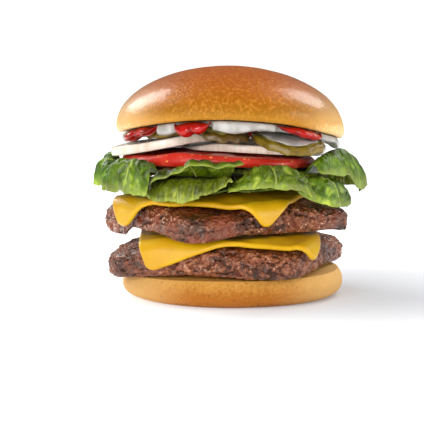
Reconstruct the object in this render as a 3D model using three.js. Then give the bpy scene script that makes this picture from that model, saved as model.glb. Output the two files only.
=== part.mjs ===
// A double cheeseburger in millimetres, +Z up, standing on the flat underside of its heel bun.
// The origin is the centre of that underside; the front of the burger faces -Y.
// Every layer is worked out from the surface that carries it, so neighbours stay GAP apart.
import * as THREE from 'three';

// ---------------------------------------------------------------- driving dimensions
const GAP = 0.3;
const RAD = Math.PI / 180;

const HEEL = {
  x: 0.7, radius: 50.4, height: 13, droop: 0.9, leftDroop: 2.4, flatInset: 8, cutInset: 2, wideAt: 0.1,
};

const PATTY = { half: 46.5, corner: 6, edge: 5.4, underEdge: 3.4, upright: 0.25, baseFrom: 47, baseTo: 59 };
const LOWER_PATTY = {
  x: -1, cornerAt: 294, base: 13.6, top: 27, sag: 3, sagFrom: 42, sagTo: 60,
  onHeel: 1, baseSag: 0, leftSag: 0, leftFall: 1.6, seed: 1.7,
};
const UPPER_PATTY = {
  x: -3, cornerAt: 256, base: 31, top: 46.4, sag: 5.4, sagFrom: 28, sagTo: 58,
  onHeel: 0, baseSag: 2.8, leftSag: 4.2, leftFall: 0, seed: 4.1,
};

const SLICE = { thickness: 2.4, bend: 84, gap: 0.7, slack: 0.8, fold: 3.4, corner: 4.5 };
const LOWER_CHEESE = { patty: LOWER_PATTY, half: 40, cornerAt: 226.5, x: -1.4, y: -9.4, blunt: 4.5 };
const UPPER_CHEESE = { patty: UPPER_PATTY, half: 42, cornerAt: 205.5, x: -6.8, y: -1.8, blunt: 9 };

const TOMATO = {
  x: -5.5, radius: 44, top: 66.2, fallRight: 2.6, droop: 1, leftDroop: 1.2, thickness: 5.6,
  rimThinning: 1.2, swell: 1.8, swellX: -23, swellWide: 13,
};
const ONION_RIGHT = { x: 11.2, radius: 32.1, thickness: 3.6, thinned: 1.9, lip: 1.5 };
const ONION_LEFT = { x: -27, radius: 28, thickness: 4.2, base: 63.1, rise: 0.19, sinks: 0.16 };
const PICKLE = { scallops: 11, scallopDepth: 0.3, crinkle: 0.25, crinkleWave: 6.5 };

const CROWN = { x: -0.5, radius: 51.9, apex: 104.4, apexX: -1.4, cutInset: 1.9, cheek: 2.8 };
// The cut face of the crown: lower at the sides, lifted in front, hollow in the middle.
const CUT = { side: 72.5, fallRight: 1.6, fallBack: 3, arch: 5.5, hollow: 8, reach: 50 };
const MAYO = { radius: 49.2, depth: 3.4, middle: 1.3, clear: 1.7, slack: 0.4, from: 0.78, full: 0.95 };
// Where the mayonnaise hangs deeper: direction, half width in degrees, and extra depth.
const DRIPS = [
  { azimuth: 270, halfWidth: 13, depth: 2 },
  { azimuth: 233, halfWidth: 11, depth: 1.5 },
  { azimuth: 331, halfWidth: 9, depth: 0.3 },
  { azimuth: 352, halfWidth: 14, depth: 1.6 },
  { azimuth: 184, halfWidth: 10, depth: 1.4 },
  { azimuth: 130, halfWidth: 20, depth: 1.6 },
  { azimuth: 45, halfWidth: 18, depth: 1.3 },
];

const LEAF = { thickness: 1, inner: 16, innerLift: 1.2, inside: 1 / 6, narrow: 0.72 };
// Each leaf spans the azimuths first to last. From its start (reach, height) three profiles run by two
// guide points to the leaf's edge: at the first azimuth, midway and at the last. It has a number of
// folds as deep as its frill, and a hem that flares out near the edge.
const LEAVES = [
  {
    name: 'lettuce_left', first: 164, last: 211, start: [42, 55.6],
    profiles: [
      [[52, 57], [57, 69], [58.5, 60]],
      [[52, 57], [59, 71], [61, 50]],
      [[50, 57], [54, 62], [55, 50]],
    ],
    frill: 1.7, folds: 5.4, phase: 0.6, hem: 0,
  },
  {
    name: 'lettuce_front_left', first: 206, last: 231, start: [48.5, 58.2],
    profiles: [
      [[52, 66], [61, 66], [60.5, 50]],
      [[51.5, 67], [60, 67], [59, 47.5]],
      [[51, 65], [57, 64], [57.5, 48]],
    ],
    frill: 0.8, folds: 3.2, phase: 2.2, hem: 0,
  },
  {
    name: 'lettuce_fold', first: 223.5, last: 275, start: [43, 56.8],
    profiles: [
      [[47, 56], [51, 54], [53, 49]],
      [[48, 63], [54, 65.5], [56.5, 60]],
      [[47, 60], [52, 64], [54.5, 61]],
    ],
    frill: 2, folds: 4.6, phase: 6.13, hem: 0,
  },
  {
    name: 'lettuce_front', first: 221, last: 270, start: [41, 54.6],
    profiles: [
      [[46, 53.6], [50, 52], [51, 48.5]],
      [[48, 56.8], [54, 55.6], [54, 45.5]],
      [[47, 57], [53, 58], [55, 56]],
    ],
    frill: 0.8, folds: 8.8, phase: 0.2, hem: 0,
  },
  {
    name: 'lettuce_front_right', first: 268, last: 307, start: [42, 53.6],
    profiles: [
      [[46, 54.4], [50, 54.4], [52, 49.5]],
      [[48, 66], [55, 64], [56.5, 52]],
      [[50, 62], [59, 57.5], [57.5, 46.5]],
    ],
    frill: 0.9, folds: 5.2, phase: 2.6, hem: 1.6,
  },
  {
    name: 'lettuce_right_front', first: 302, last: 335, start: [42, 53.4],
    profiles: [
      [[47, 57], [51, 56], [52, 49.5]],
      [[50, 57], [61, 58], [60, 40.8]],
      [[48, 55], [55, 54], [57.5, 45]],
    ],
    frill: 0.7, folds: 4.2, phase: 1.9, hem: 0,
  },
  {
    name: 'lettuce_right', first: 314, last: 368, start: [42, 57.2],
    profiles: [
      [[45, 61], [50, 64], [53.5, 57.8]],
      [[47, 66], [55, 77], [61, 50]],
      [[48, 58], [58, 60], [61.5, 45]],
    ],
    frill: 0.5, folds: 3.4, phase: 0.4, hem: 0,
  },
  {
    name: 'lettuce_back_right', first: 9, last: 59, start: [42, 54.6],
    profiles: [
      [[50, 60], [58, 58], [58, 47]],
      [[49, 62], [57, 60], [57, 46]],
      [[48, 60], [55, 60], [56, 48]],
    ],
    frill: 1.6, folds: 6.2, phase: 1.4, hem: 0,
  },
  {
    name: 'lettuce_back', first: 60, last: 116, start: [42, 54.8],
    profiles: [
      [[49, 60], [56, 58], [55, 47]],
      [[48, 64], [56, 64], [58, 48]],
      [[49, 60], [56, 60], [55, 46]],
    ],
    frill: 1.6, folds: 7, phase: 0.8, hem: 0,
  },
  {
    name: 'lettuce_back_left', first: 118, last: 162, start: [42, 54.6],
    profiles: [
      [[49, 61], [55, 60], [56, 47]],
      [[48, 62], [58, 63], [59, 48]],
      [[49, 60], [56, 60], [57, 47]],
    ],
    frill: 1.6, folds: 6.4, phase: 2.9, hem: 0,
  },
];
// The crumpled leaf that lies on the cheese under the others.
const BED = { x: -2, radius: 42.5, level: 52, droop: 3, wave: 23, height: 1.4, seed: 0.9 };

// Pickle slices: centre, radius, height of the middle, slopes, and how far each side bends down.
const PICKLES = [
  { name: 'pickle_left', x: -26.5, y: -18, radius: 11.2, thickness: 3, z: 75.1,
    slopeX: 0.18, slopeY: 0, dropX: 0, dropY: 0.4 },
  { name: 'pickle_middle', x: -4.6, y: -31.5, radius: 12.2, thickness: 3.2, z: 77,
    slopeX: 0, slopeY: 0, dropX: 4.6, dropY: 4.6 },
  { name: 'pickle_right', x: 24.5, y: -29, radius: 16, thickness: 3.8, z: 71.2,
    slopeX: -0.14, slopeY: 0.05, dropX: 0, dropY: 2.9 },
];

// Ketchup squeezed out under the rim of the crown. A lobe has a middle and a half width, as shares of
// the lump's half length, and a size.
const KETCHUP = [
  {
    name: 'ketchup_left', azimuth: 211.8, radius: 47.6, halfLength: 12.5, halfWidth: 4.4, depth: 6.3,
    lobes: [[-0.504, 0.496, 1], [0.03, 0.56, 0.62], [0.528, 0.472, 0.74]],
  },
  {
    name: 'ketchup_middle', azimuth: 249, radius: 48, halfLength: 8.2, halfWidth: 4.6, depth: 6.8,
    lobes: [[-0.34, 0.66, 1], [0.42, 0.58, 0.84]],
  },
  {
    name: 'ketchup_right', azimuth: 308, radius: 48.4, halfLength: 12.2, halfWidth: 4.6, depth: 4.4,
    lobes: [[0.5, 0.5, 1], [0.1, 0.5, 0.9], [-0.25, 0.75, 0.72]],
  },
  {
    name: 'ketchup_back', azimuth: 82, radius: 47, halfLength: 9.5, halfWidth: 4.6, depth: 6,
    lobes: [[-0.3, 0.7, 1], [0.4, 0.6, 0.8]],
  },
];

// ---------------------------------------------------------------- small maths
const clamp01 = (t) => Math.min(1, Math.max(0, t));
const mix = (a, b, t) => a + (b - a) * t;

function smoothstep(low, high, value) {
  const t = clamp01((value - low) / (high - low));
  return t * t * (3 - 2 * t);
}

// Softly rounded minimum of two heights.
function softMin(a, b, softness) {
  const h = clamp01(0.5 + (0.5 * (b - a)) / softness);
  return mix(b, a, h) - softness * h * (1 - h);
}

// Signed distance between two directions in degrees, from -180 to 180.
function turnBetween(a, b) {
  return ((a - b + 540) % 360) - 180;
}

// Smooth lumps from -1 to 1: three crossed waves of unlike length.
function lumps(x, y, z, seed, wave) {
  const k = (2 * Math.PI) / wave;
  const wide = Math.sin(k * (x + 0.37 * y) + 1.9 * seed) * Math.cos(k * (0.83 * y - 0.21 * z) + seed);
  const risen = Math.sin(k * 1.63 * (0.78 * y + 0.5 * z) - 2.3 * seed);
  const across = Math.cos(k * 1.41 * (x - 0.6 * z) + 0.7 * seed);
  const fine = Math.sin(k * 2.3 * (0.62 * x - 0.71 * y + 0.4 * z) + 3.1 * seed);
  return 0.5 * wide + 0.35 * risen * across + 0.15 * fine;
}

// Slow swelling of an outline with direction, from -1 to 1.
function swell(phi, seed) {
  const oval = Math.sin(2 * phi + seed);
  const three = Math.sin(3 * phi + 2.1 * seed);
  const five = Math.sin(5 * phi - seed);
  return 0.5 * oval + 0.3 * three + 0.2 * five;
}

// ---------------------------------------------------------------- closed bodies
function geometryFrom(points, triangles) {
  const geometry = new THREE.BufferGeometry();
  geometry.setFromPoints(points);
  geometry.setIndex(triangles);
  geometry.computeVertexNormals();
  return geometry;
}

// Rings from a lower pole to an upper pole; point(ring, phi) places ring 0 and ring `rings` on the axis.
function polarBody(rings, steps, point) {
  const points = [point(0, 0)];
  for (let ring = 1; ring < rings; ring += 1) {
    for (let step = 0; step < steps; step += 1) {
      points.push(point(ring, (2 * Math.PI * step) / steps));
    }
  }
  points.push(point(rings, 0));
  const at = (ring, step) => 1 + (ring - 1) * steps + (step % steps);
  const last = points.length - 1;
  const triangles = [];
  for (let step = 0; step < steps; step += 1) {
    triangles.push(0, at(1, step + 1), at(1, step));
    triangles.push(at(rings - 1, step), at(rings - 1, step + 1), last);
    for (let ring = 1; ring < rings - 1; ring += 1) {
      triangles.push(at(ring, step), at(ring, step + 1), at(ring + 1, step + 1));
      triangles.push(at(ring, step), at(ring + 1, step + 1), at(ring + 1, step));
    }
  }
  return geometryFrom(points, triangles);
}

// A thin sheet with a front and a back split alike: middle(u, v) with u and v from 0 to 1.
function thinSheet(columns, rows, middle, thickness) {
  const nudge = 1e-3;
  const faces = [1, -1].map((side) => {
    const points = [];
    for (let row = 0; row <= rows; row += 1) {
      for (let column = 0; column <= columns; column += 1) {
        const u = column / columns;
        const v = row / rows;
        const along = middle(u + nudge, v).sub(middle(u - nudge, v));
        const across = middle(u, v + nudge).sub(middle(u, v - nudge));
        const normal = along.cross(across).normalize();
        points.push(middle(u, v).addScaledVector(normal, (side * thickness(u, v)) / 2));
      }
    }
    return points;
  });
  return pairedSheet(columns, rows, faces);
}

// Joins an upper and a lower grid of points round their edge into one closed body.
function pairedSheet(columns, rows, faces) {
  const width = columns + 1;
  const count = width * (rows + 1);
  const top = (column, row) => row * width + column;
  const bottom = (column, row) => count + top(column, row);
  const triangles = [];
  const quad = (a, b, c, d) => triangles.push(a, b, c, a, c, d);
  for (let row = 0; row < rows; row += 1) {
    for (let column = 0; column < columns; column += 1) {
      quad(top(column, row), top(column + 1, row), top(column + 1, row + 1), top(column, row + 1));
      triangles.push(bottom(column, row), bottom(column + 1, row + 1), bottom(column + 1, row));
      triangles.push(bottom(column, row), bottom(column, row + 1), bottom(column + 1, row + 1));
    }
  }
  for (let column = 0; column < columns; column += 1) {
    quad(bottom(column, 0), bottom(column + 1, 0), top(column + 1, 0), top(column, 0));
    quad(top(column, rows), top(column + 1, rows), bottom(column + 1, rows), bottom(column, rows));
  }
  for (let row = 0; row < rows; row += 1) {
    quad(top(0, row), top(0, row + 1), bottom(0, row + 1), bottom(0, row));
    quad(bottom(columns, row), bottom(columns, row + 1), top(columns, row + 1), top(columns, row));
  }
  return geometryFrom([...faces[0], ...faces[1]], triangles);
}

// A slab between base(x, y) and top(x, y) inside radius(phi). The rim runs through `rim` steps from
// s = -1 at the base to s = 1 at the top, pulled in by inset(s); the faces have `rings` rings each.
function slab({ x, y, radius, base, top, inset, rings, rim, steps, relief = () => 0 }) {
  const ringCount = 2 * rings + rim;
  const point = (ring, phi) => {
    const onRim = ring >= rings && ring <= rings + rim;
    const s = onRim ? (2 * (ring - rings)) / rim - 1 : Math.sign(ring - rings);
    const inner = ring < rings ? ring / rings : (ringCount - ring) / rings;
    const fraction = onRim ? 1 : Math.sqrt(inner) * 0.985;
    let reach = (radius(phi) - inset(s)) * fraction;
    const px = x + reach * Math.cos(phi);
    const py = y + reach * Math.sin(phi);
    const z = mix(base(px, py), top(px, py), (s + 1) / 2);
    if (onRim) {
      reach -= relief(px, py, z) * (1 - s * s);
    }
    return new THREE.Vector3(x + reach * Math.cos(phi), y + reach * Math.sin(phi), z);
  };
  return polarBody(ringCount, steps, point);
}

// ---------------------------------------------------------------- heel bun
// Height of the cut face of the heel: its rim droops, most on the left.
function heelTop(x, y) {
  const out = Math.min(Math.hypot(x, y) / HEEL.radius, 1.02);
  return HEEL.height - (HEEL.droop + HEEL.leftDroop * clamp01(-x / HEEL.radius) ** 2) * out ** 4;
}

function heelBun() {
  const radius = (phi) => HEEL.radius + 0.5 * swell(phi, 0.8);
  const inset = (s) => {
    const below = clamp01((HEEL.wideAt - s) / (1 + HEEL.wideAt));
    const above = clamp01((s - HEEL.wideAt) / (1 - HEEL.wideAt));
    return HEEL.flatInset * (1 - Math.sqrt(1 - below ** 2.4)) + HEEL.cutInset * above ** 2;
  };
  return slab({
    x: HEEL.x, y: 0, radius, inset,
    base: () => 0,
    top: heelTop,
    rings: 2, rim: 6, steps: 48,
  });
}

// ---------------------------------------------------------------- beef patties
// Reach of a rounded square from its middle, with its corners at cornerAt and a quarter turn apart.
function squareReach(half, sharpness, cornerAt, phi) {
  const psi = phi - (cornerAt - 45) * RAD;
  const sides = Math.abs(Math.cos(psi)) ** sharpness + Math.abs(Math.sin(psi)) ** sharpness;
  return half / sides ** (1 / sharpness);
}

function pattyReach(patty, phi) {
  return squareReach(PATTY.half, PATTY.corner, patty.cornerAt, phi) + 0.8 * swell(phi, patty.seed);
}

// The top of a patty falls away smoothly towards its rim and to the left.
function pattyTop(patty, x, y) {
  const sag = patty.sag * smoothstep(patty.sagFrom, patty.sagTo, Math.hypot(x - patty.x, y));
  const fall = patty.leftFall * smoothstep(28, 50, -x);
  return patty.top - sag - fall - 0.35 * (1 + lumps(x, y, 0, patty.seed, 21));
}

// The underside follows what carries it and hangs where it reaches past, most on the left.
function pattyBase(patty, x, y) {
  const allRound = patty.baseSag * smoothstep(PATTY.baseFrom, PATTY.baseTo, Math.hypot(x, y));
  const hanging = Math.max(allRound, patty.leftSag * smoothstep(43.5, 48.5, -x));
  return patty.base + patty.onHeel * (heelTop(x, y) - HEEL.height) - hanging;
}

function beefPatty(patty) {
  const inset = (s) => {
    const bend = clamp01((Math.abs(s) - PATTY.upright) / (1 - PATTY.upright));
    return (s > 0 ? PATTY.edge : PATTY.underEdge) * (1 - Math.sqrt(1 - bend * bend));
  };
  const relief = (x, y, z) => 0.95 * (1 + lumps(x, y, z, patty.seed, 14));
  return slab({
    x: patty.x, y: 0, inset, relief,
    radius: (phi) => pattyReach(patty, phi),
    base: (x, y) => pattyBase(patty, x, y),
    top: (x, y) => pattyTop(patty, x, y),
    rings: 3, rim: 6, steps: 56,
  });
}

// ---------------------------------------------------------------- cheese slices
// A square's point for a and b from -1 to 1, its corner regions turned to nested quarter circles.
function roundedSquare(a, b, half, corner) {
  const inner = half - corner;
  const pastA = Math.max(Math.abs(a) * half - inner, 0);
  const pastB = Math.max(Math.abs(b) * half - inner, 0);
  const shrink = pastA > 0 && pastB > 0 ? Math.max(pastA, pastB) / Math.hypot(pastA, pastB) : 1;
  const x = Math.sign(a) * (Math.min(Math.abs(a) * half, inner) + pastA * shrink);
  const y = Math.sign(b) * (Math.min(Math.abs(b) * half, inner) + pastB * shrink);
  return [x, y];
}

// Angle from the outline's normal to the direction phi from the patty's middle.
function pattyLean(patty, phi) {
  const step = 0.02;
  const slope = (pattyReach(patty, phi + step) - pattyReach(patty, phi - step)) / (2 * step);
  return Math.atan(slope / pattyReach(patty, phi));
}

// A square slice laid over its patty. A fold's size inside the patty's edge the slice turns down square
// to the edge, round a circle of that size, and then hangs straight; `lift` is the height above the
// patty's surface.
function cheesePoint(cheese, u, v, lift) {
  const turn = (cheese.cornerAt - 45) * RAD;
  const a = 2 * u - 1;
  const b = 2 * v - 1;
  const [flatX, flatY] = roundedSquare(a, b, cheese.half, a > 0 && b > 0 ? cheese.blunt : SLICE.corner);
  const x = cheese.x + flatX * Math.cos(turn) - flatY * Math.sin(turn);
  const y = cheese.y + flatX * Math.sin(turn) + flatY * Math.cos(turn);
  const patty = cheese.patty;
  const phi = Math.atan2(y, x - patty.x);
  const distance = Math.hypot(x - patty.x, y);
  const edge = pattyReach(patty, phi) - SLICE.fold;
  const past = Math.max(0, distance - edge);
  const lean = pattyLean(patty, phi);
  const over = past * Math.cos(lean);
  const aside = past * Math.sin(lean);
  const gap = SLICE.gap + SLICE.slack * smoothstep(-4, 3, distance - edge);
  const bendRadius = SLICE.fold + gap + SLICE.thickness / 2;
  const angle = Math.min(over / bendRadius, SLICE.bend * RAD);
  const hanging = over - angle * bendRadius;
  const radius = SLICE.fold + gap + lift;
  const out = radius * Math.sin(angle) + hanging * Math.cos(angle);
  const startX = patty.x + Math.min(distance, edge) * Math.cos(phi);
  const startY = Math.min(distance, edge) * Math.sin(phi);
  const nx = Math.cos(phi - lean);
  const ny = Math.sin(phi - lean);
  const z = pattyTop(patty, startX, startY) + gap + lift - radius * (1 - Math.cos(angle));
  return new THREE.Vector3(
    startX + out * nx - aside * ny,
    startY + out * ny + aside * nx,
    z - hanging * Math.sin(angle),
  );
}

function cheeseSlice(cheese) {
  const cells = 13;
  const faces = [SLICE.thickness, 0].map((lift) => {
    const points = [];
    for (let row = 0; row <= cells; row += 1) {
      for (let column = 0; column <= cells; column += 1) {
        points.push(cheesePoint(cheese, column / cells, row / cells, lift));
      }
    }
    return points;
  });
  return pairedSheet(cells, cells, faces);
}

// ---------------------------------------------------------------- lettuce
// The parabola over u through the three profiles' values of one guide point: its reach and height.
function guideAt(leaf, guide, u) {
  const weights = [(1 - u) * (1 - 2 * u), 4 * u * (1 - u), u * (2 * u - 1)];
  return [0, 1].map((axis) => weights.reduce((sum, w, k) => sum + w * leaf.profiles[k][guide][axis], 0));
}

// A leaf: level from LEAF.inner to its start, then a cubic Bezier curve by the guides to the edge.
// Across the curve stands a frill that grows towards the edge.
function leafPoint(leaf, u, v) {
  const side = 2 * u - 1;
  const spread = (leaf.last - leaf.first) / 2;
  const azimuth = ((leaf.first + leaf.last) / 2 + spread * side * mix(LEAF.narrow, 1, v)) * RAD;
  const t = clamp01((v - LEAF.inside) / (1 - LEAF.inside));
  const points = [leaf.start, guideAt(leaf, 0, u), guideAt(leaf, 1, u), guideAt(leaf, 2, u)];
  const shares = [(1 - t) ** 3, 3 * (1 - t) ** 2 * t, 3 * (1 - t) * t * t, t ** 3];
  const turns = [(1 - t) ** 2, 2 * (1 - t) * t, t * t];
  const curve = [0, 1].map((axis) => shares.reduce((sum, w, k) => sum + w * points[k][axis], 0));
  const slope = [0, 1].map((axis) => {
    return turns.reduce((sum, w, k) => sum + w * (points[k + 1][axis] - points[k][axis]), 0);
  });
  const steepness = Math.hypot(slope[0], slope[1]);
  const inward = Math.min(v / LEAF.inside, 1);
  const wave = leaf.folds * Math.PI * u;
  const ripple = Math.sin(wave + leaf.phase) + 0.35 * Math.sin(2.7 * wave);
  const lift = leaf.frill * t ** 1.4 * ripple + leaf.hem * smoothstep(0.74, 0.9, t);
  const reach = curve[0] - (1 - inward) * (leaf.start[0] - LEAF.inner) - (lift * slope[1]) / steepness;
  const z = curve[1] + LEAF.innerLift * (1 - inward) + (lift * slope[0]) / steepness;
  return new THREE.Vector3(reach * Math.cos(azimuth), reach * Math.sin(azimuth), z);
}

function lettuceLeaf(leaf) {
  const thickness = (u, v) => LEAF.thickness * (1 - 0.35 * v);
  return thinSheet(12, 6, (u, v) => leafPoint(leaf, u, v), thickness);
}

function lettuceBed() {
  const middle = (x, y) => {
    const droop = BED.droop * smoothstep(UPPER_PATTY.sagFrom, UPPER_PATTY.sagTo, Math.hypot(x - BED.x, y));
    return BED.level - droop + BED.height * lumps(x, y, 0, BED.seed, BED.wave);
  };
  return slab({
    x: BED.x, y: 0,
    radius: (phi) => BED.radius + 1.2 * swell(2 * phi, 1.9),
    base: (x, y) => middle(x, y) - LEAF.thickness / 2,
    top: (x, y) => middle(x, y) + LEAF.thickness / 2,
    inset: () => 0,
    rings: 4, rim: 1, steps: 30,
  });
}

// ---------------------------------------------------------------- tomato and onion
// Height of the tomato's top before its rim droops: it falls to the right.
function tomatoLevel(x) {
  return TOMATO.top - TOMATO.fallRight * clamp01((x - TOMATO.x) / TOMATO.radius) ** 1.3;
}

function tomatoDroop(x, y) {
  const out = Math.min(Math.hypot(x - TOMATO.x, y) / TOMATO.radius, 1.2);
  return (TOMATO.droop + TOMATO.leftDroop * clamp01((TOMATO.x - x) / TOMATO.radius)) * out ** 5;
}

// The rim droops, but for a swelling of the front left part.
function tomatoTop(x, y) {
  const bulge = Math.exp(-(((x - TOMATO.swellX) / TOMATO.swellWide) ** 2)) * smoothstep(26, 38, -y);
  return tomatoLevel(x) - tomatoDroop(x, y) + TOMATO.swell * bulge;
}

function tomatoSlice() {
  const base = (x, y) => {
    const out = clamp01(Math.hypot(x - TOMATO.x, y) / TOMATO.radius);
    return tomatoLevel(x) - tomatoDroop(x, y) - TOMATO.thickness + TOMATO.rimThinning * out ** 3;
  };
  return slab({
    x: TOMATO.x, y: 0, base,
    radius: (phi) => TOMATO.radius + 0.8 * swell(phi, 2.6),
    top: tomatoTop,
    inset: (s) => 1.1 * s * s,
    rings: 2, rim: 3, steps: 40,
  });
}

// The right onion lies on the tomato; its right end curls up in a lip.
function onionRightBase(x, y) {
  return tomatoLevel(x) + 0.5 + 0.004 * y + ONION_RIGHT.lip * smoothstep(39.5, 46.5, x);
}

// It is thinner at its left end, under the other slice.
function onionRightTop(x, y) {
  return onionRightBase(x, y) + ONION_RIGHT.thickness - ONION_RIGHT.thinned * smoothstep(-4, -20, x);
}

// The left onion slopes up to the right and rounds off where it lies on the other slice; left of that
// it sinks towards the back until it lies on the tomato.
function onionLeftBase(x, y) {
  const slope = ONION_LEFT.base + ONION_LEFT.rise * (x - ONION_LEFT.x + ONION_LEFT.radius);
  const leaning = softMin(slope, onionRightBase(x, 0) + ONION_RIGHT.thickness + 0.5, 1.2);
  const sunk = leaning - ONION_LEFT.sinks * Math.max(y, 0) * smoothstep(-17.5, -22, x);
  return -softMin(-sunk, -tomatoTop(x, y) - 0.5, 0.6);
}

function onionLeftTop(x, y) {
  return onionLeftBase(x, y) + ONION_LEFT.thickness;
}

function onionSlice(onion, base, top, seed) {
  const radius = (phi) => onion.radius + 0.4 * swell(phi, seed);
  return slab({
    x: onion.x, y: 0, radius, base, top,
    inset: (s) => 0.5 * s * s,
    rings: 2, rim: 2, steps: 38,
  });
}

// ---------------------------------------------------------------- pickles
function pickleMiddle(pickle, x, y) {
  const acrossX = x - pickle.x;
  const acrossY = y - pickle.y;
  const right = Math.max(0, acrossX / pickle.radius);
  const front = Math.max(0, -acrossY / pickle.radius);
  const tilted = pickle.z + pickle.slopeX * acrossX + pickle.slopeY * acrossY;
  return tilted - pickle.dropX * right ** 2 - pickle.dropY * front ** 2;
}

function pickleSlice(pickle) {
  const radius = (phi) => pickle.radius + PICKLE.scallopDepth * Math.sin(PICKLE.scallops * phi);
  const crinkle = (x, y) => PICKLE.crinkle * Math.sin((2 * Math.PI * (x + 0.4 * y)) / PICKLE.crinkleWave);
  const face = (side) => (x, y) => pickleMiddle(pickle, x, y) + crinkle(x, y) + (side * pickle.thickness) / 2;
  return slab({
    x: pickle.x, y: pickle.y, radius,
    base: face(-1),
    top: face(1),
    inset: (s) => 0.5 * s * s,
    rings: 1, rim: 2, steps: 42,
  });
}

// ---------------------------------------------------------------- crown bun, mayonnaise, ketchup
function cutFace(x, y) {
  const acrossX = x / CUT.reach;
  const acrossY = y / CUT.reach;
  const out = Math.min(1.1, acrossX ** 2 + acrossY ** 2);
  const tilt = -CUT.fallRight * acrossX - CUT.fallBack * acrossY;
  return CUT.side + tilt + CUT.arch * acrossY ** 2 + CUT.hollow * (1 - out);
}

function crownBun() {
  const under = 3;
  const cheekRings = 2;
  const dome = 7;
  const rings = under + cheekRings + dome;
  const point = (ring, phi) => {
    const full = CROWN.radius + 0.45 * swell(phi, 1.3);
    const rimX = CROWN.x + full * Math.cos(phi);
    const rimY = full * Math.sin(phi);
    const cutReach = full - CROWN.cutInset;
    if (ring <= under) {
      const reach = cutReach * Math.sqrt(ring / under);
      const x = CROWN.x + reach * Math.cos(phi);
      const y = reach * Math.sin(phi);
      return new THREE.Vector3(x, y, cutFace(x, y));
    }
    const cutZ = cutFace(CROWN.x + cutReach * Math.cos(phi), cutReach * Math.sin(phi));
    const wideZ = cutZ + CROWN.cheek;
    if (ring <= under + cheekRings) {
      const angle = ((ring - under) / cheekRings) * 90 * RAD;
      const reach = cutReach + CROWN.cutInset * Math.sin(angle);
      const z = wideZ - CROWN.cheek * Math.cos(angle);
      return new THREE.Vector3(CROWN.x + reach * Math.cos(phi), reach * Math.sin(phi), z);
    }
    const climb = ((ring - under - cheekRings) / dome) * 90 * RAD;
    const across = Math.cos(climb);
    const up = Math.sin(climb);
    const x = mix(CROWN.apexX, rimX, across);
    return new THREE.Vector3(x, rimY * across, mix(wideZ, CROWN.apex, up));
  };
  return polarBody(rings, 54, point);
}

// Size of a lump of ketchup at a share of its half length: the largest of its lobes' half circles.
function lobeSize(blob, share) {
  const sizes = blob.lobes.map(([middle, half, size]) => {
    return size * Math.sqrt(clamp01(1 - ((share - middle) / half) ** 2));
  });
  return Math.max(...sizes);
}

// Outline of the mayonnaise: behind each lump of ketchup it draws in to stay clear of its inner side.
function mayonnaiseReach(phi) {
  let reach = MAYO.radius + 0.9 * swell(2 * phi, 2.2);
  for (const blob of KETCHUP) {
    const place = turnBetween(phi / RAD, blob.azimuth) * RAD * blob.radius;
    const size = lobeSize(blob, place / (blob.halfLength + MAYO.clear));
    const inner = blob.radius - blob.halfWidth * size - MAYO.clear;
    reach -= Math.max(reach - inner, 0) * smoothstep(0, 0.3, size);
  }
  return reach;
}

// Depth of the mayonnaise at the rim in a direction.
function rimDepth(azimuth) {
  const extra = DRIPS.map((drip) => {
    const away = turnBetween(azimuth, drip.azimuth) / drip.halfWidth;
    return drip.depth * Math.exp(-2 * away * away);
  });
  return MAYO.depth + Math.max(...extra) + 0.3 * swell(3 * azimuth * RAD, 0.9);
}

function mayonnaise() {
  const top = (x, y) => {
    const out = clamp01(Math.hypot(x, y) / MAYO.radius);
    return cutFace(x, y) - GAP - MAYO.slack * (1 - out ** 4);
  };
  const base = (x, y) => {
    const out = smoothstep(MAYO.from, MAYO.full, Math.hypot(x, y) / MAYO.radius);
    return top(x, y) - mix(MAYO.middle, rimDepth(Math.atan2(y, x) / RAD), out);
  };
  return slab({
    x: 0, y: 0, base, top,
    radius: mayonnaiseReach,
    inset: (s) => 0.9 * s * s,
    rings: 3, rim: 2, steps: 60,
  });
}

// A glossy lump lying along the rim under the crown, its top following the cut face. Its section is an
// ellipse, as large as the largest of its lobes there.
function ketchupLump(blob) {
  const azimuth = blob.azimuth * RAD;
  const outX = Math.cos(azimuth);
  const outY = Math.sin(azimuth);
  const rings = 7;
  const point = (ring, phi) => {
    const climb = (ring / rings - 0.5) * Math.PI;
    const share = Math.cos(climb) * Math.sin(phi);
    const size = lobeSize(blob, share);
    const ratio = size / Math.sqrt(Math.max(1 - share ** 2, 0.03));
    const s = blob.halfLength * share;
    const w = blob.halfWidth * ratio * Math.cos(climb) * Math.cos(phi) - (s * s) / (2 * blob.radius);
    const x = outX * (blob.radius + w) - outY * s;
    const y = outY * (blob.radius + w) + outX * s;
    const height = blob.depth * size ** 0.85;
    return new THREE.Vector3(x, y, cutFace(x, y) - GAP - height * (0.5 - 0.5 * Math.sin(climb)));
  };
  return polarBody(rings, 18, point);
}

// ---------------------------------------------------------------- materials
const shade = (color, roughness) => new THREE.MeshStandardMaterial({ color, roughness, metalness: 0 });
const crust = shade(0xc07838, 0.45);
const crumb = shade(0xd8a860, 0.7);
const beef = shade(0x6a3c2a, 0.65);
const cheddar = shade(0xf2b41c, 0.4);
const leafGreen = shade(0x5f9a2c, 0.45);
const tomatoRed = shade(0xc42a1c, 0.3);
const onionWhite = shade(0xe8dfd2, 0.35);
const pickleGreen = shade(0x7c7420, 0.35);
const sauceWhite = shade(0xf0eee8, 0.35);
const sauceRed = shade(0xb01410, 0.2);

// ---------------------------------------------------------------- assembly
const burger = new THREE.Group();

function add(name, geometry, material) {
  const mesh = new THREE.Mesh(geometry, material);
  mesh.name = name;
  burger.add(mesh);
}

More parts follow.
